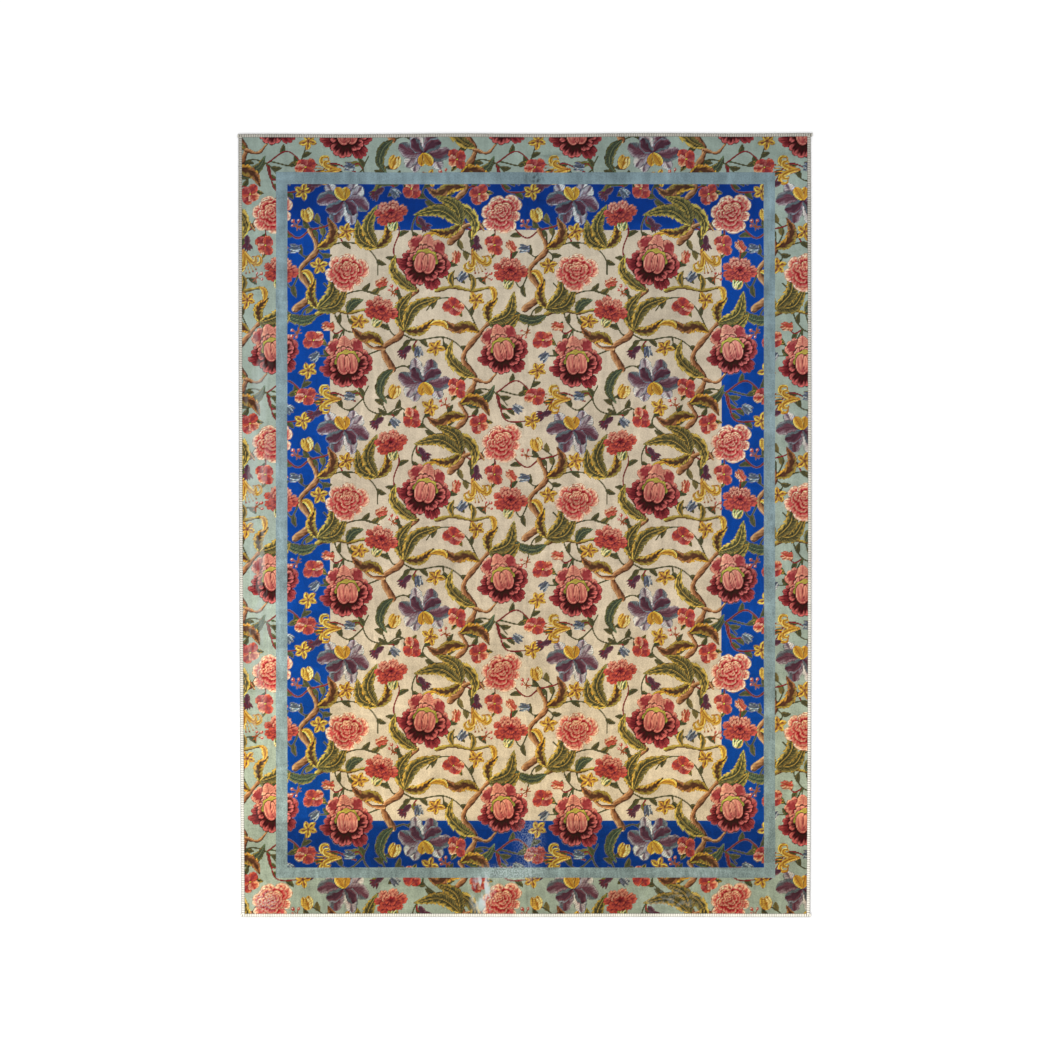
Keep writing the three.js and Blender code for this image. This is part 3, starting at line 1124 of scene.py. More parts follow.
class Print:
    """The whole repeat, composed of branches, leaves, flowers and small fillers.

    Each ten fillers look for bare places with a finer brush. Fillers turn by the golden angle, in degrees.
    Their stems bow to one side by a share of their length, and are cut off at a longest length.
    """

    FILL_BRUSHES = (24, 17, 12)
    GOLDEN_ANGLE = 137.5
    LONGEST_STEM = 120
    BOW = 0.36

    def __init__(self) -> None:
        """Prints everything once, from the back to the front."""
        self.tile = Tile()
        for stroke, route in BRANCHES:
            stroke.print_on(self.tile, Line(route))
        for blade, route in LEAVES:
            blade.print_on(self.tile, Line(route))
        for plume in PLUMES:
            plume.print_on(self.tile)
        for flower in FLOWERS:
            flower.print_on(self.tile)
        for k, route in enumerate(STEMS):
            stem = GREEN_STEM if k % 2 else RED_STEM
            grow(self.tile, Line(route), stem, ((0.4, 1), (0.7, -1)), SMALL_LEAF, 34)
        for route in VINES:
            grow(self.tile, Line(route), GREEN_STEM, ((0.25, -1), (0.8, 1)), SMALL_LEAF, 30)
        self.fill()

    def fill(self) -> None:
        """Sets small flowers one by one in the barest places, each on its own stem with leaves."""
        anchors = [point for _, route in BRANCHES for point in route[1:-1]]
        anchors += [point for route in VINES for point in route[1:-1]]
        placed = {kind: [] for kind in FILLERS}
        for k, kind in enumerate(FILLERS):
            x, y = self.tile.emptiest(self.FILL_BRUSHES[min(k // 10, 2)], placed[kind])
            placed[kind].append((x, y))
            ways = (self.towards(anchor, x, y) for anchor in anchors)
            dx, dy = min(ways, key=lambda way: math.hypot(*way))
            heading = math.degrees(math.atan2(-dy, -dx))
            facing = (k * self.GOLDEN_ANGLE + 20) % 360 if kind in (Blossom, Star) else heading
            kind(x, y, turn=facing).print_on(self.tile)
            share = min(1.0, self.LONGEST_STEM / max(math.hypot(dx, dy), 1))
            foot = (x + dx * share, y + dy * share)
            bow = self.BOW if k % 2 else -self.BOW
            bend = (x + dx * share / 2 - dy * share * bow, y + dy * share / 2 + dx * share * bow)
            stem = RED_STEM if k % 3 == 0 else GREEN_STEM
            blade = LIME_LEAF if k % 4 == 1 else SMALL_LEAF
            grow(self.tile, Line((foot, bend, (x, y))), stem, ((0.35, 1), (0.68, -1)), blade, 28)

    @staticmethod
    def towards(point: Place, x: float, y: float) -> Place:
        """The shortest way from a place to a point on the endless print.

        Args:
            point: The point, in millimetres.
            x: The place across the print.
            y: The place up the print.

        Returns:
            How far it is across and up.
        """
        dx = (point[0] - x + REPEAT / 2) % REPEAT - REPEAT / 2
        dy = (point[1] - y + REPEAT / 2) % REPEAT - REPEAT / 2
        return dx, dy


@dataclass(frozen=True)
class Fold:
    """A soft fold that still shows in the rug's face, in metres.

    Args:
        place: Where it lies across its own direction.
        half_width: Half its width.
        height: How far it stands up, or down if it is below 0.
    """

    place: float
    half_width: float
    height: float

    def lift(self, position: np.ndarray) -> np.ndarray:
        """How far the face stands up at each position across the fold."""
        share = np.clip(np.abs(position - self.place) / self.half_width, 0, 1)
        return self.height * (1 + np.cos(math.pi * share)) / 2


@dataclass(frozen=True)
class Outline:
    """The rug's size, and how far each side strays inwards from a plain rectangle, in metres.

    Args:
        left_taper: How far the left side comes in at the bottom.
        right_hollow: How far the right side comes in at both ends.
        right_taper: How much further it comes in at the bottom.
        top_slope: How far the top comes in at the left.
        top_wave: Depth of the top's waves.
        top_wave_crest: A place across the rug where they don't reach in.
        ear: How far the top edge's yarn stands past the right side.
    """

    width: float = 1.600
    length: float = 2.190
    left_taper: float = 0.008
    right_hollow: float = 0.0022
    right_taper: float = 0.002
    top_slope: float = 0.0034
    top_wave: float = 0.0017
    top_wave_length: float = 0.550
    top_wave_crest: float = -0.750
    bottom_wave: float = 0.0006
    bottom_wave_length: float = 0.730
    ear: float = 0.0025

    def placed(self, x: np.ndarray, y: np.ndarray) -> tuple[np.ndarray, np.ndarray]:
        """Moves points of the plain rectangle to the uneven outline.

        Args:
            x: Places across the plain rectangle.
            y: Places up it.

        Returns:
            The places across and up the real rug.
        """
        across, up = 0.5 + x / self.width, 0.5 + y / self.length
        left = self.left_taper * (1 - up) ** 2
        right = self.right_hollow * (1 - np.sin(math.pi * (1 - up))) + self.right_taper * (1 - up) ** 4
        wave = 1 - np.cos(math.tau * (x - self.top_wave_crest) / self.top_wave_length)
        top = self.top_slope * (1 - across) + self.top_wave * wave / 2
        bottom = self.bottom_wave * (1 - np.cos(math.tau * x / self.bottom_wave_length)) / 2
        return x + left * (1 - across) - right * across, y + bottom * (1 - up) - top * up


def linked(name: str, data: bpy.types.ID) -> bpy.types.Object:
    """Makes an object from its data and links it to the scene."""
    made = bpy.data.objects.new(name, data)
    bpy.context.scene.collection.objects.link(made)
    return made


def mesh_object(
    name: str, points: np.ndarray, faces: list[np.ndarray], smooth: list[bool]
) -> bpy.types.Object:
    """Makes a mesh object from arrays.

    Args:
        name: Name of the object.
        points: One row of three for each point, in metres.
        faces: Groups of faces, each an array with a row of point numbers for each face.
        smooth: For each group, whether it is shaded smooth.

    Returns:
        The object, linked to the scene.
    """
    mesh = bpy.data.meshes.new(name)
    corners = np.concatenate([group.ravel() for group in faces]).astype(np.int32)
    sizes = np.concatenate([np.full(len(group), group.shape[1], np.int32) for group in faces])
    starts = np.concatenate([[0], np.cumsum(sizes)[:-1]]).astype(np.int32)
    mesh.vertices.add(len(points))
    mesh.vertices.foreach_set("co", np.ascontiguousarray(points, np.float32).ravel())
    mesh.loops.add(len(corners))
    mesh.loops.foreach_set("vertex_index", corners)
    mesh.polygons.add(len(sizes))
    mesh.polygons.foreach_set("loop_start", starts)
    shading = np.concatenate([np.full(len(group), shade) for group, shade in zip(faces, smooth)])
    mesh.polygons.foreach_set("use_smooth", shading)
    mesh.update(calc_edges=True)
    mesh.validate()
    return linked(name, mesh)


def dress(
    piece: bpy.types.Object, material: bpy.types.Material, slot: str, *nodes: str
) -> bpy.types.Object:
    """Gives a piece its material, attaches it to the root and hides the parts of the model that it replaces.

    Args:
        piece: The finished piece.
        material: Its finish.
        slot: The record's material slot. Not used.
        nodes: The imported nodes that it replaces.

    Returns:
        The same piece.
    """
    piece.data.materials.clear()
    piece.data.materials.append(material)
    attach(piece, "root")
    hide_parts(*nodes)
    LOG.info("%s has %d faces", piece.name, len(piece.data.polygons))
    return piece


class Recipe:
    """A material's nodes, added one by one."""

    def __init__(self, name: str) -> None:
        """Starts an empty material of that name, with its output and shader."""
        self.material = bpy.data.materials.new(name)
        self.material.use_nodes = True
        self.tree = self.material.node_tree
        self.tree.nodes.clear()
        output = self.tree.nodes.new("ShaderNodeOutputMaterial")
        self.shader = self.tree.nodes.new("ShaderNodeBsdfPrincipled")
        self.tree.links.new(self.shader.outputs["BSDF"], output.inputs["Surface"])

    def put(self, socket: Socket, value: object) -> None:
        """Sets a socket to a value, or joins it to another node's output.

        Args:
            socket: The socket.
            value: A number, a colour, a vector or an output.
        """
        if isinstance(value, Socket):
            self.tree.links.new(value, socket)
        elif isinstance(value, tuple) and len(value) == 3 and socket.type == "RGBA":
            socket.default_value = (*value, 1.0)
        else:
            socket.default_value = value

    def add(
        self, kind: str, inputs: dict[str | int, object] | None = None, **settings: object
    ) -> bpy.types.Node:
        """Adds a node.

        Args:
            kind: Blender's name for the kind of node.
            inputs: A value or another node's output for each input.
            settings: The node's own settings.

        Returns:
            The node.
        """
        node = self.tree.nodes.new(kind)
        for key, value in settings.items():
            setattr(node, key, value)
        for key, value in (inputs or {}).items():
            self.put(node.inputs[key], value)
        return node

    def shade(self, values: dict[str, object]) -> None:
        """Sets several inputs of the shader, by their names."""
        for name, value in values.items():
            self.put(self.shader.inputs[name], value)

    def bump(self, height: Socket, strength: float, distance: float) -> None:
        """Makes the surface look uneven by a height in metres."""
        node = self.add("ShaderNodeBump", {"Height": height, "Strength": strength, "Distance": distance})
        self.shade({"Normal": node.outputs["Normal"]})

    def places(self) -> Socket:
        """Places on the piece, in metres."""
        return self.add("ShaderNodeTexCoord").outputs["Object"]

    def split(self, vector: Socket) -> tuple[Socket, ...]:
        """The three parts of a vector."""
        return tuple(self.add("ShaderNodeSeparateXYZ", {0: vector}).outputs)

    def math(self, operation: str, *values: object) -> Socket:
        """The result of a sum on one or two values."""
        return self.add("ShaderNodeMath", dict(enumerate(values)), operation=operation).outputs[0]

    def times(self, first: object, second: object) -> Socket:
        """The product of two values."""
        return self.math("MULTIPLY", first, second)

    def raised(self, first: object, second: object) -> Socket:
        """One plus the product of two values."""
        return self.math("ADD", 1.0, self.times(first, second))

    def apart(self, first: object, second: object) -> Socket:
        """How far two values lie apart."""
        return self.math("ABSOLUTE", self.math("SUBTRACT", first, second))

    def vector(self, operation: str, first: object, second: object) -> Socket:
        """The result of a sum on two vectors, or on a vector and a number that scales it."""
        inputs = {0: first, "Scale" if operation == "SCALE" else 1: second}
        return self.add("ShaderNodeVectorMath", inputs, operation=operation).outputs[0]

    def scaled(
        self, value: object, low: float, high: float, at_low: float = 0.0, at_high: float = 1.0
    ) -> Socket:
        """A value carried smoothly from one range to another and held at its ends."""
        inputs = {"Value": value, "From Min": low, "From Max": high, "To Min": at_low, "To Max": at_high}
        return self.add("ShaderNodeMapRange", inputs, interpolation_type="SMOOTHSTEP").outputs["Result"]

    def blend(self, share: object, first: object, second: object, how: str = "MIX") -> Socket:
        """Two colours mixed.

        Args:
            share: Share of the second colour.
            first: Colour where the share is 0.
            second: Colour where the share is 1.
            how: Blender's name for the way of mixing.

        Returns:
            The mixed colour.
        """
        node = self.add("ShaderNodeMix", data_type="RGBA", blend_type=how)
        for number, value in ((0, share), (6, first), (7, second)):
            self.put(node.inputs[number], value)
        return node.outputs[2]

    def noise(self, places: Socket, scale: float, detail: float, stretch: Triple = (1, 1, 1)) -> Socket:
        """Noise at places, from 0 to 1, finer in the directions that are stretched more."""
        inputs = {"Vector": self.vector("MULTIPLY", places, stretch), "Scale": scale, "Detail": detail}
        return self.add("ShaderNodeTexNoise", inputs).outputs["Fac"]


def linear(red: int, green: int, blue: int) -> Triple:
    """A colour given in sRGB from 0 to 255, as light."""
    return tuple(as_light(np.array((red, green, blue)) / 255).tolist())


@dataclass(frozen=True)
class Frame:
    """A rectangle of the print, by its centre and half its sides, in metres."""

    x: float
    y: float
    half_width: float
    half_length: float

    def beyond(self, recipe: Recipe, across: Socket, up: Socket) -> Socket:
        """How far outside the rectangle each place is.

        Args:
            recipe: The material.
            across: Places across the rug.
            up: Places up the rug.

        Returns:
            The distance, below 0 inside.
        """
        past_sides = recipe.math("SUBTRACT", recipe.apart(across, self.x), self.half_width)
        past_ends = recipe.math("SUBTRACT", recipe.apart(up, self.y), self.half_length)
        return recipe.math("MAXIMUM", past_sides, past_ends)


@dataclass(frozen=True)
class NapMark:
    """A place where the nap was brushed the other way, painted lighter or darker and in some with a painted
    silvery sheen, by its centre and half its sides, in metres.

    Args:
        light: How much lighter it is painted, below 0 for darker.
        silver: How far it turns to the painted silvery sheen of the pile.
        stretch: How fine its streaks are across and up the rug.
    """

    x: float
    y: float
    half_width: float
    half_length: float
    light: float
    silver: float = 0.0
    stretch: Triple = (150, 40, 1)

    def strength(self, recipe: Recipe, places: Socket) -> Socket:
        """How strong the mark is.

        Args:
            recipe: The material.
            places: Places on the rug.

        Returns:
            The mark's strength at each place, from 0 to 1.
        """
        centred = recipe.vector("SUBTRACT", places, (self.x, self.y, 0))
        shares = recipe.vector("MULTIPLY", centred, (1 / self.half_width, 1 / self.half_length, 0))
        away = recipe.add("ShaderNodeVectorMath", {0: shares}, operation="LENGTH").outputs["Value"]
        streaks = recipe.scaled(recipe.noise(places, 1.0, 3.0, self.stretch), 0.42, 0.62)
        return recipe.times(recipe.scaled(away, 1.0, 0.2), streaks)

    def factor(self, recipe: Recipe, places: Socket) -> Socket:
        """What the colour is multiplied by at each place."""
        return recipe.raised(self.strength(recipe, places), self.light)


# Patches of pile painted lighter or darker; those with a silver share also carry a painted silvery sheen.
NAP_MARKS = (
    NapMark(0.020, 0.972, 0.050, 0.040, -0.30),
    NapMark(0.032, 0.966, 0.026, 0.026, -0.60, 0.0, (110, 90, 1)),
    NapMark(0.031, 0.915, 0.014, 0.060, -0.42, 0.0, (50, 20, 1)),
    NapMark(0.100, 0.900, 0.140, 0.018, -0.30, 0.0, (20, 60, 1)),
    NapMark(0.090, 1.030, 0.120, 0.012, -0.25, 0.0, (20, 90, 1)),
    NapMark(0.012, -0.890, 0.055, 0.110, 0.24, 0.24, (250, 200, 1)),
    NapMark(0.013, -0.930, 0.010, 0.150, 0.30, 0.25, (90, 30, 1)),
    NapMark(-0.040, -0.970, 0.130, 0.032, 0.25, 0.50, (260, 220, 1)),
    NapMark(-0.120, -1.025, 0.045, 0.085, 0.40, 1.00, (70, 22, 1)),
    NapMark(-0.745, 0.0, 0.055, 0.95, 0.0, 0.35, (40, 9, 1)),
    NapMark(-0.730, -1.050, 0.060, 0.045, 0.15, 0.45, (260, 200, 1)),
    NapMark(0.480, -0.970, 0.140, 0.022, 0.12, 0.20, (90, 30, 1)),
    NapMark(0.400, -1.050, 0.120, 0.050, 0.10, 0.18, (60, 80, 1)),
    NapMark(-0.380, -0.330, 0.16, 0.10, 0.16),
    NapMark(-0.700, -0.300, 0.05, 0.40, 0.14),
    NapMark(0.705, 0.020, 0.06, 0.50, 0.12),
    NapMark(0.300, -0.560, 0.20, 0.12, 0.12),
    NapMark(-0.050, 0.250, 0.12, 0.16, 0.10),
)


@dataclass(frozen=True)
class PrintedVelvet:
    """Short velvet pile, printed on grounds of cream, royal blue and mint with a plain pale-blue band.

    Colours are in sRGB from 0 to 255 and lengths in metres. A span holds two places or shares and the
    lightness at them, which changes smoothly between the two.

    Args:
        halo: Pale rim of the print on blue, with its strength in halo_share.
        silver: Colour of the painted silvery sheen of the pile's other side, where it is brushed flat.
        bleed: How far a ground's edge is blurred.
        waver: How far a ground's edge strays.
        cover_range: Cover of the print where it starts to show and where it hides the ground.
        halo_range: Cover where the rim on blue starts and where it is full.
        deep_span: How much the blue deepens, by distance from the middle.
        muting: How much of the deeper tone the print takes there.
        left_highlight: How much lighter the left border is painted where its pile leans over, a painted
            highlight.
        slant: Turn of the crushed pile's grain, in radians.
        crush_span: How much more crushed the lower part is.
        band_crush_span: How much more it shows in the band.
        creases: How fine each kind of crease is across and up the rug, and the depth of the painted crease
            shading along it, below 0 for painted shade and above 0 for painted highlight.
    """

    cream: Colour = (213, 198, 168)
    blue: Colour = (10, 69, 153)
    deep_blue: Colour = (4, 40, 109)
    mint: Colour = (161, 176, 158)
    band: Colour = (135, 156, 156)
    halo: Colour = (190, 172, 132)
    # Painted silvery sheen.
    silver: Colour = (176, 186, 184)
    field: Frame = Frame(0.0021, -0.0012, 0.5459, 0.8240)
    band_inside: Frame = Frame(0.0017, -0.0026, 0.6650, 0.9535)
    band_outside: Frame = Frame(0.0014, -0.0004, 0.6962, 0.9840)
    bleed: float = 0.0008
    waver: float = 0.004
    cover_range: tuple[float, float] = (0.26, 0.76)
    halo_range: tuple[float, float] = (0.06, 0.3)
    halo_share: float = 0.26
    deep_span: Span = (0.80, 0.86, 0.0, 0.62)
    muting: float = 0.7
    over_blue: Triple = (1.12, 1.26, 1.34)
    over_deep_blue: Triple = (0.68, 0.76, 0.82)
    # Painted light from end to end: darker and cooler towards the upper end, lighter and warmer towards the
    # lower end; all three also scale the colours down.
    upper_painted_light: Triple = (0.645, 0.665, 0.735)
    middle_painted_light: Triple = (0.685, 0.67, 0.705)
    lower_painted_light: Triple = (0.82, 0.755, 0.67)
    fold_place: float = 0.006
    # Painted shade along the fold at fold_place.
    fold_shade_span: Span = (0.001, 0.005, 0.93, 1.0)
    # Lighter along the right rim, darker towards both ends and across the lower border, lighter along the
    # lower rim.
    right_span: Span = (0.66, 0.72, 1.0, 1.06)
    # Painted light from the left: lighter on the left, darker on the right.
    left_light_span: Span = (-0.8, 0.8, 1.03, 0.97)
    ends_span: Span = (0.84, 1.06, 1.0, 0.84)
    lower_span: Span = (-0.80, -0.85, 1.0, 0.82)
    rim_span: Span = (-0.945, -0.965, 1.0, 1.1)
    # Painted highlight on the left border.
    left_highlight: float = 0.26
    slant: float = 0.6
    crush_span: Span = (1.0, -1.0, 0.75, 1.35)
    band_crush_span: Span = (0.0, 1.0, 1.0, 1.6)
    creases: tuple[tuple[Triple, float], ...] = (
        ((14, 3, 1), -0.07),
        ((19, 4, 1), 0.08),
        ((3, 12, 1), -0.07),
        ((4, 16, 1), 0.07),
        ((11, 10, 1), 0.06),
    )

    def material(self) -> bpy.types.Material:
        """Builds the material.

        Returns:
            The material.
        """
        recipe = Recipe("printed_velvet")
        places = recipe.places()
        drift = recipe.add("ShaderNodeTexNoise", {"Vector": places, "Scale": 5.0, "Detail": 3.0})
        centred = recipe.vector("SUBTRACT", drift.outputs["Color"], (0.5, 0.5, 0.5))
        shift = recipe.vector("SCALE", centred, self.waver)
        across, up, _ = recipe.split(recipe.vector("ADD", places, shift))
        in_border, past_inner, past_outer = (
            recipe.scaled(edge.beyond(recipe, across, up), -self.bleed, self.bleed)
            for edge in (self.field, self.band_inside, self.band_outside)
        )
        ends = recipe.scaled(recipe.math("ABSOLUTE", up), *self.deep_span)
        ground = recipe.blend(in_border, linear(*self.cream), linear(*self.blue))
        ground = recipe.blend(recipe.times(in_border, ends), ground, linear(*self.deep_blue))
        ground = recipe.blend(past_outer, ground, linear(*self.mint))
        printed = recipe.add("ShaderNodeAttribute", attribute_name="print")
        ink, cover = printed.outputs["Color"], printed.outputs["Alpha"]
        on_blue = recipe.times(in_border, recipe.math("SUBTRACT", 1.0, past_inner))
        rim = recipe.times(recipe.scaled(cover, *self.halo_range), recipe.times(on_blue, self.halo_share))
        ground = recipe.blend(rim, ground, linear(*self.halo))
        tone = recipe.blend(recipe.times(ends, self.muting), self.over_blue, self.over_deep_blue)
        ink = recipe.blend(on_blue, ink, recipe.blend(1.0, ink, tone, "MULTIPLY"))
        colour = recipe.blend(recipe.scaled(cover, *self.cover_range), ground, ink)
        in_band = recipe.times(past_inner, recipe.math("SUBTRACT", 1.0, past_outer))
        colour = recipe.blend(in_band, colour, linear(*self.band))
        recipe.shade({
            "Base Color": self.with_nap_and_painted_light(recipe, places, colour, in_band),
            "Roughness": 0.95,
            "Specular IOR Level": 0.08,
            "Sheen Weight": 0.12,
            "Sheen Roughness": 0.35,
        })
        tufts = recipe.noise(places, 900.0, 2.0)
        combed = recipe.noise(places, 1.0, 2.0, (420, 60, 1))
        recipe.bump(recipe.math("ADD", tufts, recipe.times(combed, 0.35)), 0.35, 0.0006)
        return recipe.material

    def with_nap_and_painted_light(self, recipe: Recipe, places: Socket, colour: Socket, in_band: Socket) -> Socket:
        """Lightens and darkens the colour with the pile's random mottle, and paints light and shade on it:
        painted light from the left and from top to bottom, painted shade along the fold, a painted highlight
        on the left border and a painted silvery sheen in the nap marks.

        Args:
            recipe: The material.
            places: Places on the rug.
            colour: The printed colour.
            in_band: Share of the plain band at each place.

        Returns:
            The colour with the pile's mottle and the painted light and shade.
        """
        across, up, _ = recipe.split(places)
        patches = recipe.scaled(recipe.noise(places, 6.0, 4.0), 0.3, 0.7, 0.91, 1.085)
        streaks = recipe.scaled(recipe.noise(places, 1.0, 4.0, (56, 12, 1)), 0.3, 0.7, 0.94, 1.06)
        strokes = recipe.scaled(recipe.noise(places, 1.0, 3.0, (16, 34, 1)), 0.3, 0.72, 0.97, 1.03)
        brushed = recipe.scaled(recipe.noise(places, 1.0, 4.0, (30, 12, 1)), 0.3, 0.7, -0.12, 0.13)
        grain = recipe.scaled(recipe.noise(places, 1100.0, 1.0), 0.25, 0.75, 0.94, 1.06)
        # Where the painted highlight of the left border lies.
        lean = recipe.times(recipe.scaled(across, -0.60, -0.71), recipe.scaled(up, 0.75, -0.15))
        crushed = recipe.times(self.crushed(recipe, places), recipe.scaled(up, *self.crush_span))
        light = patches
        # Besides the random mottle and the painted light, these lighten the right rim and the lower rim and
        # darken both ends and the lower border.
        for factor in (
            streaks,
            # Painted shade along the fold.
            recipe.scaled(recipe.apart(across, self.fold_place), *self.fold_shade_span),
            recipe.scaled(across, *self.right_span),
            recipe.times(strokes, grain),
            # Painted light from the left.
            recipe.scaled(across, *self.left_light_span),
            recipe.scaled(recipe.math("ABSOLUTE", up), *self.ends_span),
            recipe.scaled(up, *self.lower_span),
            recipe.scaled(up, *self.rim_span),
            # Painted highlight on the left border.
            recipe.raised(lean, self.left_highlight),
            recipe.raised(brushed, in_band),
            recipe.raised(crushed, recipe.scaled(in_band, *self.band_crush_span)),
            # Nap marks, painted lighter or darker.
            *(mark.factor(recipe, places) for mark in NAP_MARKS),
        ):
            light = recipe.times(light, factor)
        # Painted light: darker and cooler towards the upper end, lighter and warmer towards the lower end.
        tone = recipe.blend(recipe.scaled(up, 0.95, 0.15), self.upper_painted_light, self.middle_painted_light)
        tone = recipe.blend(recipe.scaled(up, 0.10, -0.75), tone, self.lower_painted_light)
        colour = recipe.blend(1.0, colour, recipe.vector("SCALE", tone, light), "MULTIPLY")
        # Painted silvery sheen in the nap marks.
        for mark in NAP_MARKS:
            if mark.silver:
                share = recipe.times(mark.strength(recipe, places), mark.silver)
                colour = recipe.blend(share, colour, linear(*self.silver))
        return colour

    def crushed(self, recipe: Recipe, places: Socket) -> Socket:
        """The fine mottle of crushed pile, with painted shade and painted highlight along its creases.

        Args:
            recipe: The material.
            places: Places on the rug.

        Returns:
            How much lighter each place is, below 0 for darker.
        """
        aslant = recipe.add("ShaderNodeVectorRotate", {"Vector": places, "Angle": self.slant}).outputs[0]
        crushed = recipe.scaled(recipe.noise(aslant, 1.0, 3.0, (290, 230, 1)), 0.32, 0.68, -0.095, 0.105)
        # Painted crease shading: darker lines where the depth is below 0, lighter ones where it is above.
        for stretch, depth in self.creases:
            away = recipe.apart(recipe.noise(places, 1.0, 1.5, stretch), 0.5)
            crushed = recipe.math("ADD", crushed, recipe.scaled(away, 0.0, 0.045, depth, 0.0))
        return crushed


@dataclass(frozen=True)
class WovenBacking:
    """Plain woven backing in a pale jute colour, with an even weave.

    Args:
        warp: Colour of the raised threads, in sRGB from 0 to 255.
        weft: Colour of the threads between them.
        pitch: Distance between two threads, in metres.
    """

    warp: Colour = (196, 184, 158)
    weft: Colour = (168, 154, 126)
    pitch: float = 0.0022

    def material(self) -> bpy.types.Material:
        """Builds the material.

        Returns:
            The material.
        """
        recipe = Recipe("woven_backing")
        places = recipe.places()
        across, up, _ = recipe.split(places)
        turns = math.pi / self.pitch
        weave = recipe.times(*(recipe.math("SINE", recipe.times(place, turns)) for place in (across, up)))
        fuzz = recipe.noise(places, 1500.0, 2.0)
        fuzzy = recipe.scaled(fuzz, 0.3, 0.7, -0.2, 0.2)
        share = recipe.math("ADD", recipe.scaled(weave, -0.7, 0.7), fuzzy)
        recipe.shade({
            "Base Color": recipe.blend(share, linear(*self.weft), linear(*self.warp)),
            "Roughness": 0.95,
            "Specular IOR Level": 0.2,
        })
        recipe.bump(recipe.math("ADD", weave, recipe.times(fuzz, 0.4)), 0.6, 0.0005)
        return recipe.material


@dataclass(frozen=True)
class OverlockYarn:
    """Matt off-white yarn of several fine plies.

    Args:
        light: Colour of the clean yarn, in sRGB from 0 to 255.
        shadow: Colour of the soiled yarn between its fibres.
        upper_span: Painted shade towards the rug's upper end.
        lower_span: Painted light towards its lower end.
        depth_span: Shade in the gaps between stitches, by height over the floor.
    """

    light: Colour = (232, 227, 214)
    shadow: Colour = (182, 177, 164)
    # Painted shade towards the upper end, painted light towards the lower end.
    upper_span: Span = (0.15, 1.10, 1.0, 0.6)
    lower_span: Span = (0.3, -1.0, 0.92, 1.2)
    depth_span: Span = (0.0040, 0.0049, 0.42, 1.0)

    def material(self) -> bpy.types.Material:
        """Builds the material.

        Returns:
            The material.
        """
        recipe = Recipe("overlock_yarn")
        places = recipe.places()
        _, up, height = recipe.split(places)
        fibres = recipe.noise(places, 1900.0, 3.0)
        soil = recipe.scaled(recipe.noise(places, 14.0, 3.0), 0.3, 0.7, 0.45, 0.85)
        share = recipe.math("ADD", recipe.scaled(fibres, 0.3, 0.7, -0.25, 0.35), soil)
        colour = recipe.blend(share, linear(*self.shadow), linear(*self.light))
        # Painted light and shade: darker towards the upper end, lighter towards the lower end, and painted
        # shade low in the gaps between stitches.
        painted_shading = recipe.times(recipe.scaled(up, *self.upper_span), recipe.scaled(up, *self.lower_span))
        painted_shading = recipe.times(painted_shading, recipe.scaled(height, *self.depth_span))
        recipe.shade({
            "Base Color": recipe.vector("SCALE", colour, painted_shading),
            "Roughness": 0.88,
            "Specular IOR Level": 0.25,
            "Sheen Weight": 0.15,
        })
        recipe.bump(fibres, 0.5, 0.0005)
        return recipe.material


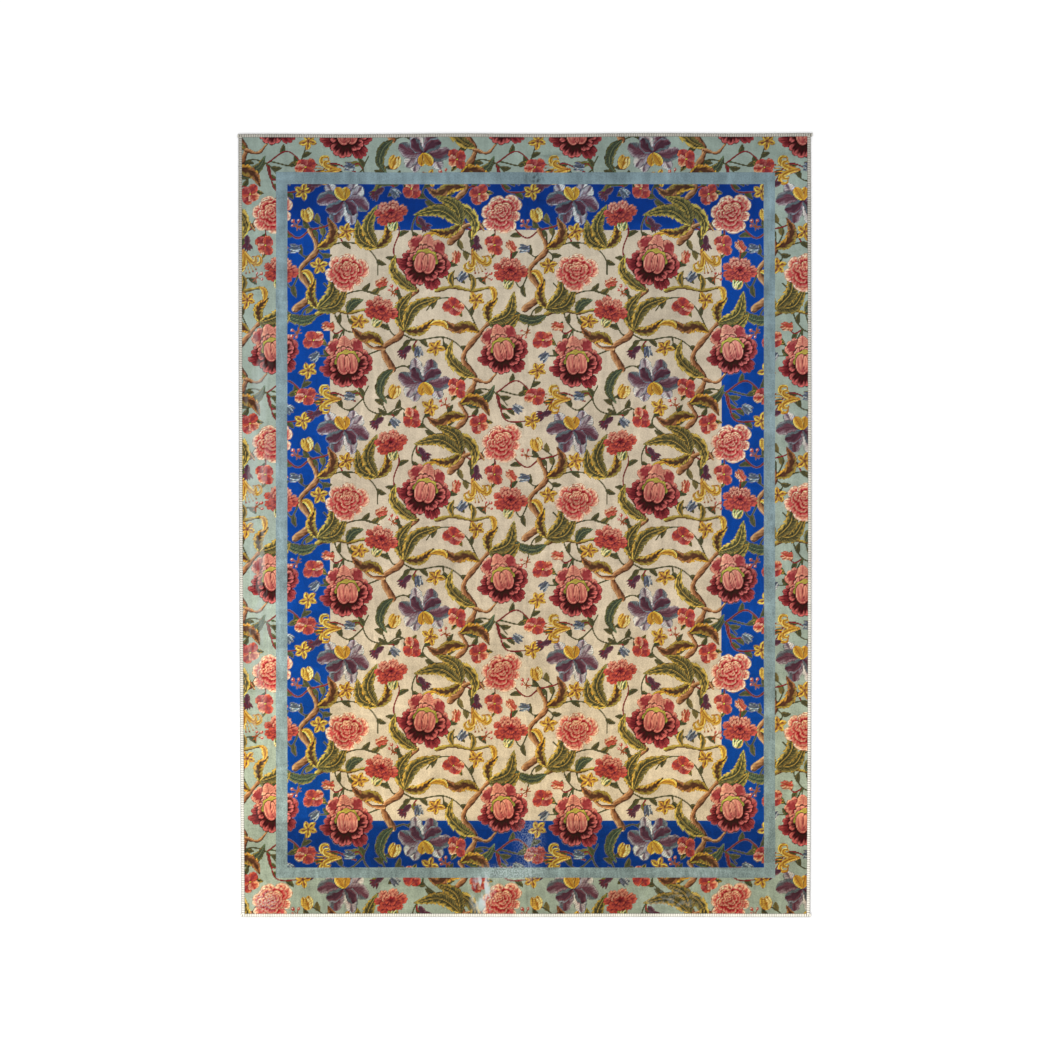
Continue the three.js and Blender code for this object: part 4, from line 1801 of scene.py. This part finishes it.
@dataclass
class Cloth:
    """The rug's cloth: a woven backing and the printed pile on it, in metres.

    Args:
        inset: How far the full thickness stays from the rug's sides.
        lip_inset: How far the thinned lip stays from the rug's sides.
        lip_low: Lowest part of the lip.
        backing: Thickness of the backing.
        height: Height of the pile's face over the floor.
        seam: Room between the pile and the backing.
        cell: Size of the pile's grid.
        panels: How many panels of pile go across and up the rug, which meet edge to edge.
        print_start: The place of the repeat that lies at the rug's middle.
        folds_across: The folds across the rug.
        fold_along: The fold along the rug.
        swell: Height of the face's slight unevenness.
    """

    outline: Outline
    inset: float = 0.0103
    lip_inset: float = 0.003
    lip_low: float = 0.0012
    backing: float = 0.0022
    height: float = 0.004
    seam: float = 0.0001
    cell: float = 0.00285
    panels: tuple[int, int] = (2, 3)
    print_start: Place = (0.601, 0.338)
    folds_across: tuple[Fold, ...] = (Fold(0.312, 0.045, 0.0007), Fold(-0.322, 0.055, 0.0008))
    fold_along: Fold = Fold(0.007, 0.014, -0.0009)
    swell: float = 0.00022

    def face_height(self, x: np.ndarray, y: np.ndarray) -> np.ndarray:
        """Height of the pile's face.

        Args:
            x: Places across the plain rectangle.
            y: Places up it.

        Returns:
            The height at each place.
        """
        swell = self.swell * (np.sin(x * 17 + 2 * np.sin(y * 5)) + np.sin(y * 13 + 3 * np.sin(x * 4)))
        folded = self.height + sum(fold.lift(y) for fold in self.folds_across) + self.fold_along.lift(x)
        return folded + swell

    def under(self, material: bpy.types.Material) -> bpy.types.Object:
        """Makes the backing, flat on the floor, with a lip that the edge's yarn closes on.

        Args:
            material: The backing's finish.

        Returns:
            The backing.
        """
        counts = (40, 54)
        half_width, half_length = self.outline.width / 2, self.outline.length / 2
        ring = rim_of(counts)
        loops, points = [], []
        for level, (inset, z) in enumerate((
            (self.inset, 0.0),
            (self.inset, self.lip_low),
            (self.lip_inset, self.lip_low),
            (self.lip_inset, self.backing),
        )):
            xs = np.linspace(inset - half_width, half_width - inset, counts[0] + 1)
            ys = np.linspace(inset - half_length, half_length - inset, counts[1] + 1)
            x, y = self.outline.placed(*np.meshgrid(xs, ys))
            loops.append(np.arange(len(ring)) + level * len(ring))
            points.append(np.column_stack([x.ravel()[ring], y.ravel()[ring], np.full(len(ring), z)]))
        walls = [wall_faces(low, high) for low, high in zip(loops, loops[1:])]
        faces = [*walls, loops[0][::-1][None], loops[-1][None]]
        made = mesh_object("rug_backing", np.vstack(points), faces, [False] * len(faces))
        return dress(made, material, "velvet", "rug_cloth")

    def pile(self, tile: Tile, material: bpy.types.Material) -> list[bpy.types.Object]:
        """Makes the printed pile as closed panels that meet edge to edge.

        Args:
            tile: The painted repeat.
            material: The velvet's finish.

        Returns:
            The panels.
        """
        half = np.array([self.outline.width, self.outline.length]) / 2 - self.inset
        counts = [round(2 * h / self.cell / n) for h, n in zip(half, self.panels)]
        made = []
        for row in range(self.panels[1]):
            for column in range(self.panels[0]):
                lines = [
                    np.linspace(-h, h, n * count + 1)[k * count : (k + 1) * count + 1]
                    for h, n, count, k in zip(half, self.panels, counts, (column, row))
                ]
                made.append(self.panel(f"pile_{row + 1}_{column + 1}", *lines, tile, material))
        return made

    def panel(
        self, name: str, xs: np.ndarray, ys: np.ndarray, tile: Tile, material: bpy.types.Material
    ) -> bpy.types.Object:
        """Makes one closed panel of printed pile.

        Args:
            name: Name of the panel.
            xs: Grid lines across the plain rectangle.
            ys: Grid lines up it.
            tile: The painted repeat.
            material: The velvet's finish.

        Returns:
            The panel.
        """
        across, up = np.meshgrid(xs, ys)
        x, y = self.outline.placed(across, up)
        top = np.column_stack([x.ravel(), y.ravel(), self.face_height(across, up).ravel()])
        counts = (len(xs) - 1, len(ys) - 1)
        ring = rim_of(counts)
        low = top[ring].copy()
        low[:, 2] = self.backing + self.seam
        numbers = np.arange(len(top)).reshape(across.shape)
        quads = np.stack([numbers[:-1, :-1], numbers[:-1, 1:], numbers[1:, 1:], numbers[1:, :-1]], -1)
        foot = np.arange(len(ring)) + len(top)
        faces = [quads.reshape(-1, 4), wall_faces(foot, ring), foot[::-1][None]]
        made = mesh_object(name, np.vstack([top, low]), faces, [False] * len(faces))
        start_x, start_y = self.print_start
        inked = tile.sampled(
            (x.ravel() + start_x) * MILLIMETRES,
            (y.ravel() + start_y) * MILLIMETRES,
            self.cell * MILLIMETRES / 2,
        )
        ink = np.zeros((len(top) + len(low), 4), np.float32)
        ink[: len(top)] = inked
        ink[len(top) :] = inked[ring]
        made.data.attributes.new("print", "FLOAT_COLOR", "POINT").data.foreach_set("color", ink.ravel())
        self.map_panel(made.data, counts, len(ring))
        return dress(made, material, "velvet", "rug_cloth")

    @staticmethod
    def map_panel(mesh: bpy.types.Mesh, counts: tuple[int, int], ring: int) -> None:
        """Lays the panel's face flat on a map named OFBake, with its sides and foot in a narrow strip below.

        Args:
            mesh: The panel's mesh.
            counts: How many cells go across and up it.
            ring: How many points go round it.
        """
        strip, wall_top, foot_low, foot_height = 0.03, 0.008, 0.012, 0.014
        corners = np.zeros(len(mesh.loops), np.int32)
        mesh.loops.foreach_get("vertex_index", corners)
        tops = (counts[0] + 1) * (counts[1] + 1)
        column, row = corners % (counts[0] + 1) / counts[0], corners // (counts[0] + 1) / counts[1]
        flat = np.column_stack([column, strip + (1 - strip) * row])
        first_wall = 4 * counts[0] * counts[1]
        first_foot = first_wall + 4 * ring
        side = np.arange(ring)
        walls = np.stack([side, side + 1, side + 1, side], 1).ravel() / ring
        flat[first_wall:first_foot, 0] = walls
        flat[first_wall:first_foot, 1] = np.where(corners[first_wall:first_foot] < tops, wall_top, 0.0)
        turned = rim_of(counts)[::-1]
        flat[first_foot:, 0] = turned % (counts[0] + 1) / counts[0]
        flat[first_foot:, 1] = foot_low + foot_height * (turned // (counts[0] + 1)) / counts[1]
        layer = mesh.uv_layers.new(name="OFBake", do_init=False)
        layer.data.foreach_set("uv", flat.astype(np.float32).ravel())


def rim_of(counts: tuple[int, int]) -> np.ndarray:
    """Numbers of the points round a grid, anticlockwise from its lower left corner."""
    numbers = np.arange((counts[0] + 1) * (counts[1] + 1)).reshape(counts[1] + 1, counts[0] + 1)
    return np.concatenate([numbers[0, :-1], numbers[:-1, -1], numbers[-1, :0:-1], numbers[:0:-1, 0]])


def wall_faces(low: np.ndarray, high: np.ndarray) -> np.ndarray:
    """Faces between two closed loops of as many points, facing outwards where low is below high."""
    return np.stack([low, np.roll(low, -1), np.roll(high, -1), high], 1)


def left_of(line: np.ndarray) -> np.ndarray:
    """The directions to the left of a line.

    Args:
        line: One row of two for each point.

    Returns:
        A direction of length 1 for each point.
    """
    ahead = np.gradient(line, axis=0)
    ahead /= np.linalg.norm(ahead, axis=1)[:, None]
    return np.column_stack([-ahead[:, 1], ahead[:, 0]])


class Side(Enum):
    """A side of the rug, by the direction in which its edge is sewn, clockwise seen from above."""

    TOP = "top"
    RIGHT = "right"
    BOTTOM = "bottom"
    LEFT = "left"


@dataclass
class YarnEdge:
    """The overlocked edge: a rounded run of yarn on each side, wrapped in stitches, in metres.

    Args:
        gap: Room that a side's run leaves to the runs that it butts against.
        pitch: Distance between two stitches.
        unevenness: How much a stitch's size may vary.
        end_gap: How far the top and bottom runs stop short of the corners.
        end_width: Width of their ends, as a share of the full width.
        yarn_width: Half the width of a stitch.
        yarn_height: Half the thickness of a stitch.
        yarn_slant: How far a stitch leans along the edge.
        yarn_end: Width of a stitch's ends, as a share of its full width.
    """

    outline: Outline
    width: float = 0.010
    gap: float = 0.0003
    pitch: float = 0.0064
    unevenness: float = 0.12
    end_gap: float = 0.0006
    end_width: float = 0.7
    yarn_width: float = 0.0023
    yarn_height: float = 0.00055
    yarn_slant: float = 0.0012
    yarn_end: float = 0.72

    def route(self, side: Side, step: float = 0.02) -> np.ndarray:
        """Points along the middle of a side's run, in the direction in which it is sewn.

        Args:
            side: Which side.
            step: Distance between two points.

        Returns:
            One row of two for each point.
        """
        middle = self.width / 2
        half_width, half_length = self.outline.width / 2, self.outline.length / 2
        if side in (Side.TOP, Side.BOTTOM):
            overrun = self.outline.ear if side is Side.TOP else 0.0
            left, right = -half_width + self.end_gap, half_width + overrun - self.end_gap
            x = np.linspace(left, right, round(2 * half_width / step))
            y = np.full_like(x, half_length - middle if side is Side.TOP else middle - half_length)
        else:
            reach = half_length - self.width - self.gap
            y = np.linspace(-reach, reach, round(2 * reach / step))
            x = np.full_like(y, half_width - middle if side is Side.RIGHT else middle - half_width)
        line = np.column_stack(self.outline.placed(x, y))
        return line[::-1] if side in (Side.BOTTOM, Side.RIGHT) else line

    def core(self, side: Side, material: bpy.types.Material) -> bpy.types.Object:
        """Makes the smooth run that the stitches wrap.

        Args:
            side: Which side.
            material: The yarn's finish.

        Returns:
            The run.
        """
        section = np.array([
            (-5.0, 0.0), (-5.0, 3.3), (-4.4, 4.0), (-2.8, 4.4), (0, 4.4),
            (2.4, 4.1), (3.6, 3.4), (4.1, 2.5), (4.1, 1.3), (3.4, 0.0),
        ]) / MILLIMETRES
        line = self.route(side)
        share = np.ones(len(line))
        if side in (Side.TOP, Side.BOTTOM):
            share[[0, -1]] = self.end_width
        rings = [
            np.column_stack([point + outwards * section[:, :1] * part, section[:, 1] * part])
            for point, outwards, part in zip(line, left_of(line), share)
        ]
        count = len(section)
        loops = [np.arange(count) + k * count for k in range(len(rings))]
        skins = [np.stack([a, b, np.roll(b, -1), np.roll(a, -1)], 1) for a, b in zip(loops, loops[1:])]
        faces = [np.vstack(skins), loops[0][None], loops[-1][::-1][None]]
        made = mesh_object(f"edge_core_{side.value}", np.vstack(rings), faces, [True, False, False])
        return dress(made, material, "edge_yarn", f"binding_{side.value}")

    def stitches(
        self, side: Side, stitch: bpy.types.Object, material: bpy.types.Material
    ) -> bpy.types.Object:
        """Wraps a side's run in stitches.

        Args:
            side: Which side.
            stitch: One stitch, which is repeated along the run.
            material: The yarn's finish.

        Returns:
            The stitches as one mesh.
        """
        line = self.route(side)
        guide = bpy.data.meshes.new("guide")
        guide.from_pydata([(x, y, 0.0) for x, y in line], [(k, k + 1) for k in range(len(line) - 1)], [])
        holder = linked("guide", guide)
        tree = self.stitch_tree()
        modifier = holder.modifiers.new("stitches", "NODES")
        modifier.node_group = tree
        values = {
            "Stitch": stitch,
            "Pitch": self.pitch,
            "Unevenness": self.unevenness,
            "Seed": FIRST_SEED + list(Side).index(side),
            "Yarn": material,
        }
        for item in tree.interface.items_tree:
            if item.item_type == "SOCKET" and item.in_out == "INPUT" and item.name in values:
                modifier[item.identifier] = values[item.name]
        evaluated = holder.evaluated_get(bpy.context.evaluated_depsgraph_get())
        mesh = bpy.data.meshes.new_from_object(evaluated)
        bpy.data.objects.remove(holder)
        made = linked(f"edge_stitches_{side.value}", mesh)
        return dress(made, material, "edge_yarn", f"binding_{side.value}")

    @staticmethod
    def stitch_tree() -> bpy.types.NodeTree:
        """The nodes that repeat one stitch along a line.

        Returns:
            The tree, with its sizes as named inputs.
        """
        tree = bpy.data.node_groups.new("stitches_along", "GeometryNodeTree")
        for name, kind in (
            ("Geometry", "Geometry"),
            ("Stitch", "Object"),
            ("Pitch", "Float"),
            ("Unevenness", "Float"),
            ("Seed", "Int"),
            ("Yarn", "Material"),
        ):
            tree.interface.new_socket(name, in_out="INPUT", socket_type=f"NodeSocket{kind}")
        tree.interface.new_socket("Geometry", in_out="OUTPUT", socket_type="NodeSocketGeometry")
        new = tree.nodes.new
        given, result = new("NodeGroupInput"), new("NodeGroupOutput")
        curve = new("GeometryNodeMeshToCurve")
        spots = new("GeometryNodeCurveToPoints")
        spots.mode = "LENGTH"
        facing = new("FunctionNodeAlignRotationToVector")
        facing.axis, facing.pivot_axis = "X", "Z"
        source = new("GeometryNodeObjectInfo")
        source.transform_space = "ORIGINAL"
        least, most = new("ShaderNodeVectorMath"), new("ShaderNodeVectorMath")
        for node, operation in ((least, "SUBTRACT"), (most, "ADD")):
            node.operation = operation
            node.inputs[0].default_value = (1.0, 1.0, 1.0)
        spread = new("ShaderNodeCombineXYZ")
        sizes = new("FunctionNodeRandomValue")
        sizes.data_type = "FLOAT_VECTOR"
        copies = new("GeometryNodeInstanceOnPoints")
        real = new("GeometryNodeRealizeInstances")
        coloured = new("GeometryNodeSetMaterial")
        for giver, output, taker, entry in (
            (given, "Geometry", curve, "Mesh"),
            (curve, "Curve", spots, "Curve"),
            (given, "Pitch", spots, "Length"),
            (spots, "Points", copies, "Points"),
            (spots, "Tangent", facing, "Vector"),
            (facing, "Rotation", copies, "Rotation"),
            (given, "Stitch", source, "Object"),
            (source, "Geometry", copies, "Instance"),
            (given, "Unevenness", spread, "X"),
            (spread, 0, least, 1),
            (spread, 0, most, 1),
            (least, 0, sizes, 0),
            (most, 0, sizes, 1),
            (given, "Seed", sizes, "Seed"),
            (sizes, 0, copies, "Scale"),
            (copies, "Instances", real, "Geometry"),
            (real, "Geometry", coloured, "Geometry"),
            (given, "Yarn", coloured, "Material"),
            (coloured, "Geometry", result, "Geometry"),
        ):
            tree.links.new(giver.outputs[output], taker.inputs[entry])
        return tree

    def one_stitch(self) -> bpy.types.Object:
        """Makes one flattened loop of yarn over the edge, with X along the edge and Y outwards.

        Returns:
            The stitch.
        """
        route = np.array([
            (-5.1, 2.5), (-4.5, 4.2), (-2.2, 4.8), (1.2, 4.75), (3.5, 4.0), (4.4, 2.5), (3.9, 0.75),
        ]) / MILLIMETRES
        corners = 6
        turns = np.arange(corners) * math.tau / corners
        last = len(route) - 1
        rings = []
        for k, (point, up) in enumerate(zip(route, left_of(route))):
            narrow = self.yarn_end if k in (0, last) else 1.0
            x = np.cos(turns) * self.yarn_width * narrow + self.yarn_slant * (k / last - 0.5)
            off = np.sin(turns)[:, None] * self.yarn_height * up
            rings.append(np.column_stack([x, point + off]))
        loops = [np.arange(corners) + k * corners for k in range(len(rings))]
        skins = [wall_faces(a, b) for a, b in zip(loops, loops[1:])]
        faces = [np.vstack(skins), loops[0][::-1][None], loops[-1][None]]
        made = mesh_object("stitch", np.vstack(rings), faces, [True, True, True])
        shell = bmesh.new()
        shell.from_mesh(made.data)
        bmesh.ops.recalc_face_normals(shell, faces=shell.faces)
        shell.to_mesh(made.data)
        shell.free()
        return made


@dataclass
class Studio:
    """A plain pale floor, soft light and the camera straight above the rug, in metres.

    Args:
        view_width: Width of the floor that the picture spans.
        lens: Focal length, in millimetres.
        sensor: Width of the sensor, in millimetres.
        centre: The place that the camera looks straight down on.
        floor_half: Half the side of the floor.
        floor_depth: How far the floor lies below the rug's underside, so that the two don't share a plane.
    """

    view_width: float = 2.931
    lens: float = 150.0
    sensor: float = 36.0
    centre: Place = (0.0, -0.0003)
    floor_half: float = 40.0
    floor_depth: float = 0.0004

    def floor(self) -> None:
        """Lays the floor."""
        recipe = Recipe("pale_floor")
        mottle = recipe.scaled(recipe.noise(recipe.places(), 0.8, 2.0), 0.3, 0.7)
        recipe.shade({
            "Base Color": recipe.blend(mottle, (0.88, 0.88, 0.88), (0.9, 0.9, 0.9)),
            "Roughness": 0.9,
            "Specular IOR Level": 0.1,
        })
        corners = ((-1, -1), (1, -1), (1, 1), (-1, 1))
        half, depth = self.floor_half, self.floor_depth
        points = np.array([(x * half, y * half, -depth) for x, y in corners])
        made = mesh_object("floor", points, [np.array([[0, 1, 2, 3]])], [False])
        made.data.materials.append(recipe.material)

    def lights(self) -> None:
        """Sets the soft light, a little stronger from the lower left of the picture."""
        world = bpy.data.worlds.new("studio")
        world.use_nodes = True
        backdrop = world.node_tree.nodes["Background"]
        backdrop.inputs["Color"].default_value = (1.0, 1.0, 1.0, 1.0)
        backdrop.inputs["Strength"].default_value = 1.0
        bpy.context.scene.world = world
        for name, place, size, power in (
            ("key", (-2.2, -3.6, 3.4), 3.0, 110.0),
            ("fill", (2.5, 3.0, 4.0), 4.0, 30.0),
        ):
            lamp = bpy.data.lights.new(name, "AREA")
            lamp.shape, lamp.size, lamp.energy = "SQUARE", size, power
            made = linked(name, lamp)
            made.location = place
            made.rotation_euler = (-Vector(place)).to_track_quat("-Z", "Y").to_euler()

    def camera(self) -> None:
        """Sets the camera face on to the rug."""
        data = bpy.data.cameras.new("camera")
        data.lens, data.sensor_width = self.lens, self.sensor
        height = self.view_width * self.lens / self.sensor
        data.clip_start, data.clip_end = 0.1, height * 4
        made = linked("camera", data)
        made.location = (*self.centre, height)
        bpy.context.scene.camera = made

    def build(self) -> None:
        """Sets everything up."""
        bpy.context.scene.view_settings.view_transform = "Standard"
        self.floor()
        self.lights()
        self.camera()


def main() -> None:
    """Builds the rug piece by piece."""
    logging.basicConfig(level=logging.INFO, format="%(message)s")
    Studio().build()
    outline = Outline()
    cloth = Cloth(outline)
    backing = cloth.under(WovenBacking().material())
    tile = Print().tile
    tile.spread_ink()
    panels = cloth.pile(tile, PrintedVelvet().material())
    yarn = OverlockYarn().material()
    edge = YarnEdge(outline)
    stitch = edge.one_stitch()
    runs = []
    for side in Side:
        runs += [edge.core(side, yarn), edge.stitches(side, stitch, yarn)]
    bpy.data.objects.remove(stitch)


if __name__ == "__main__":
    main()
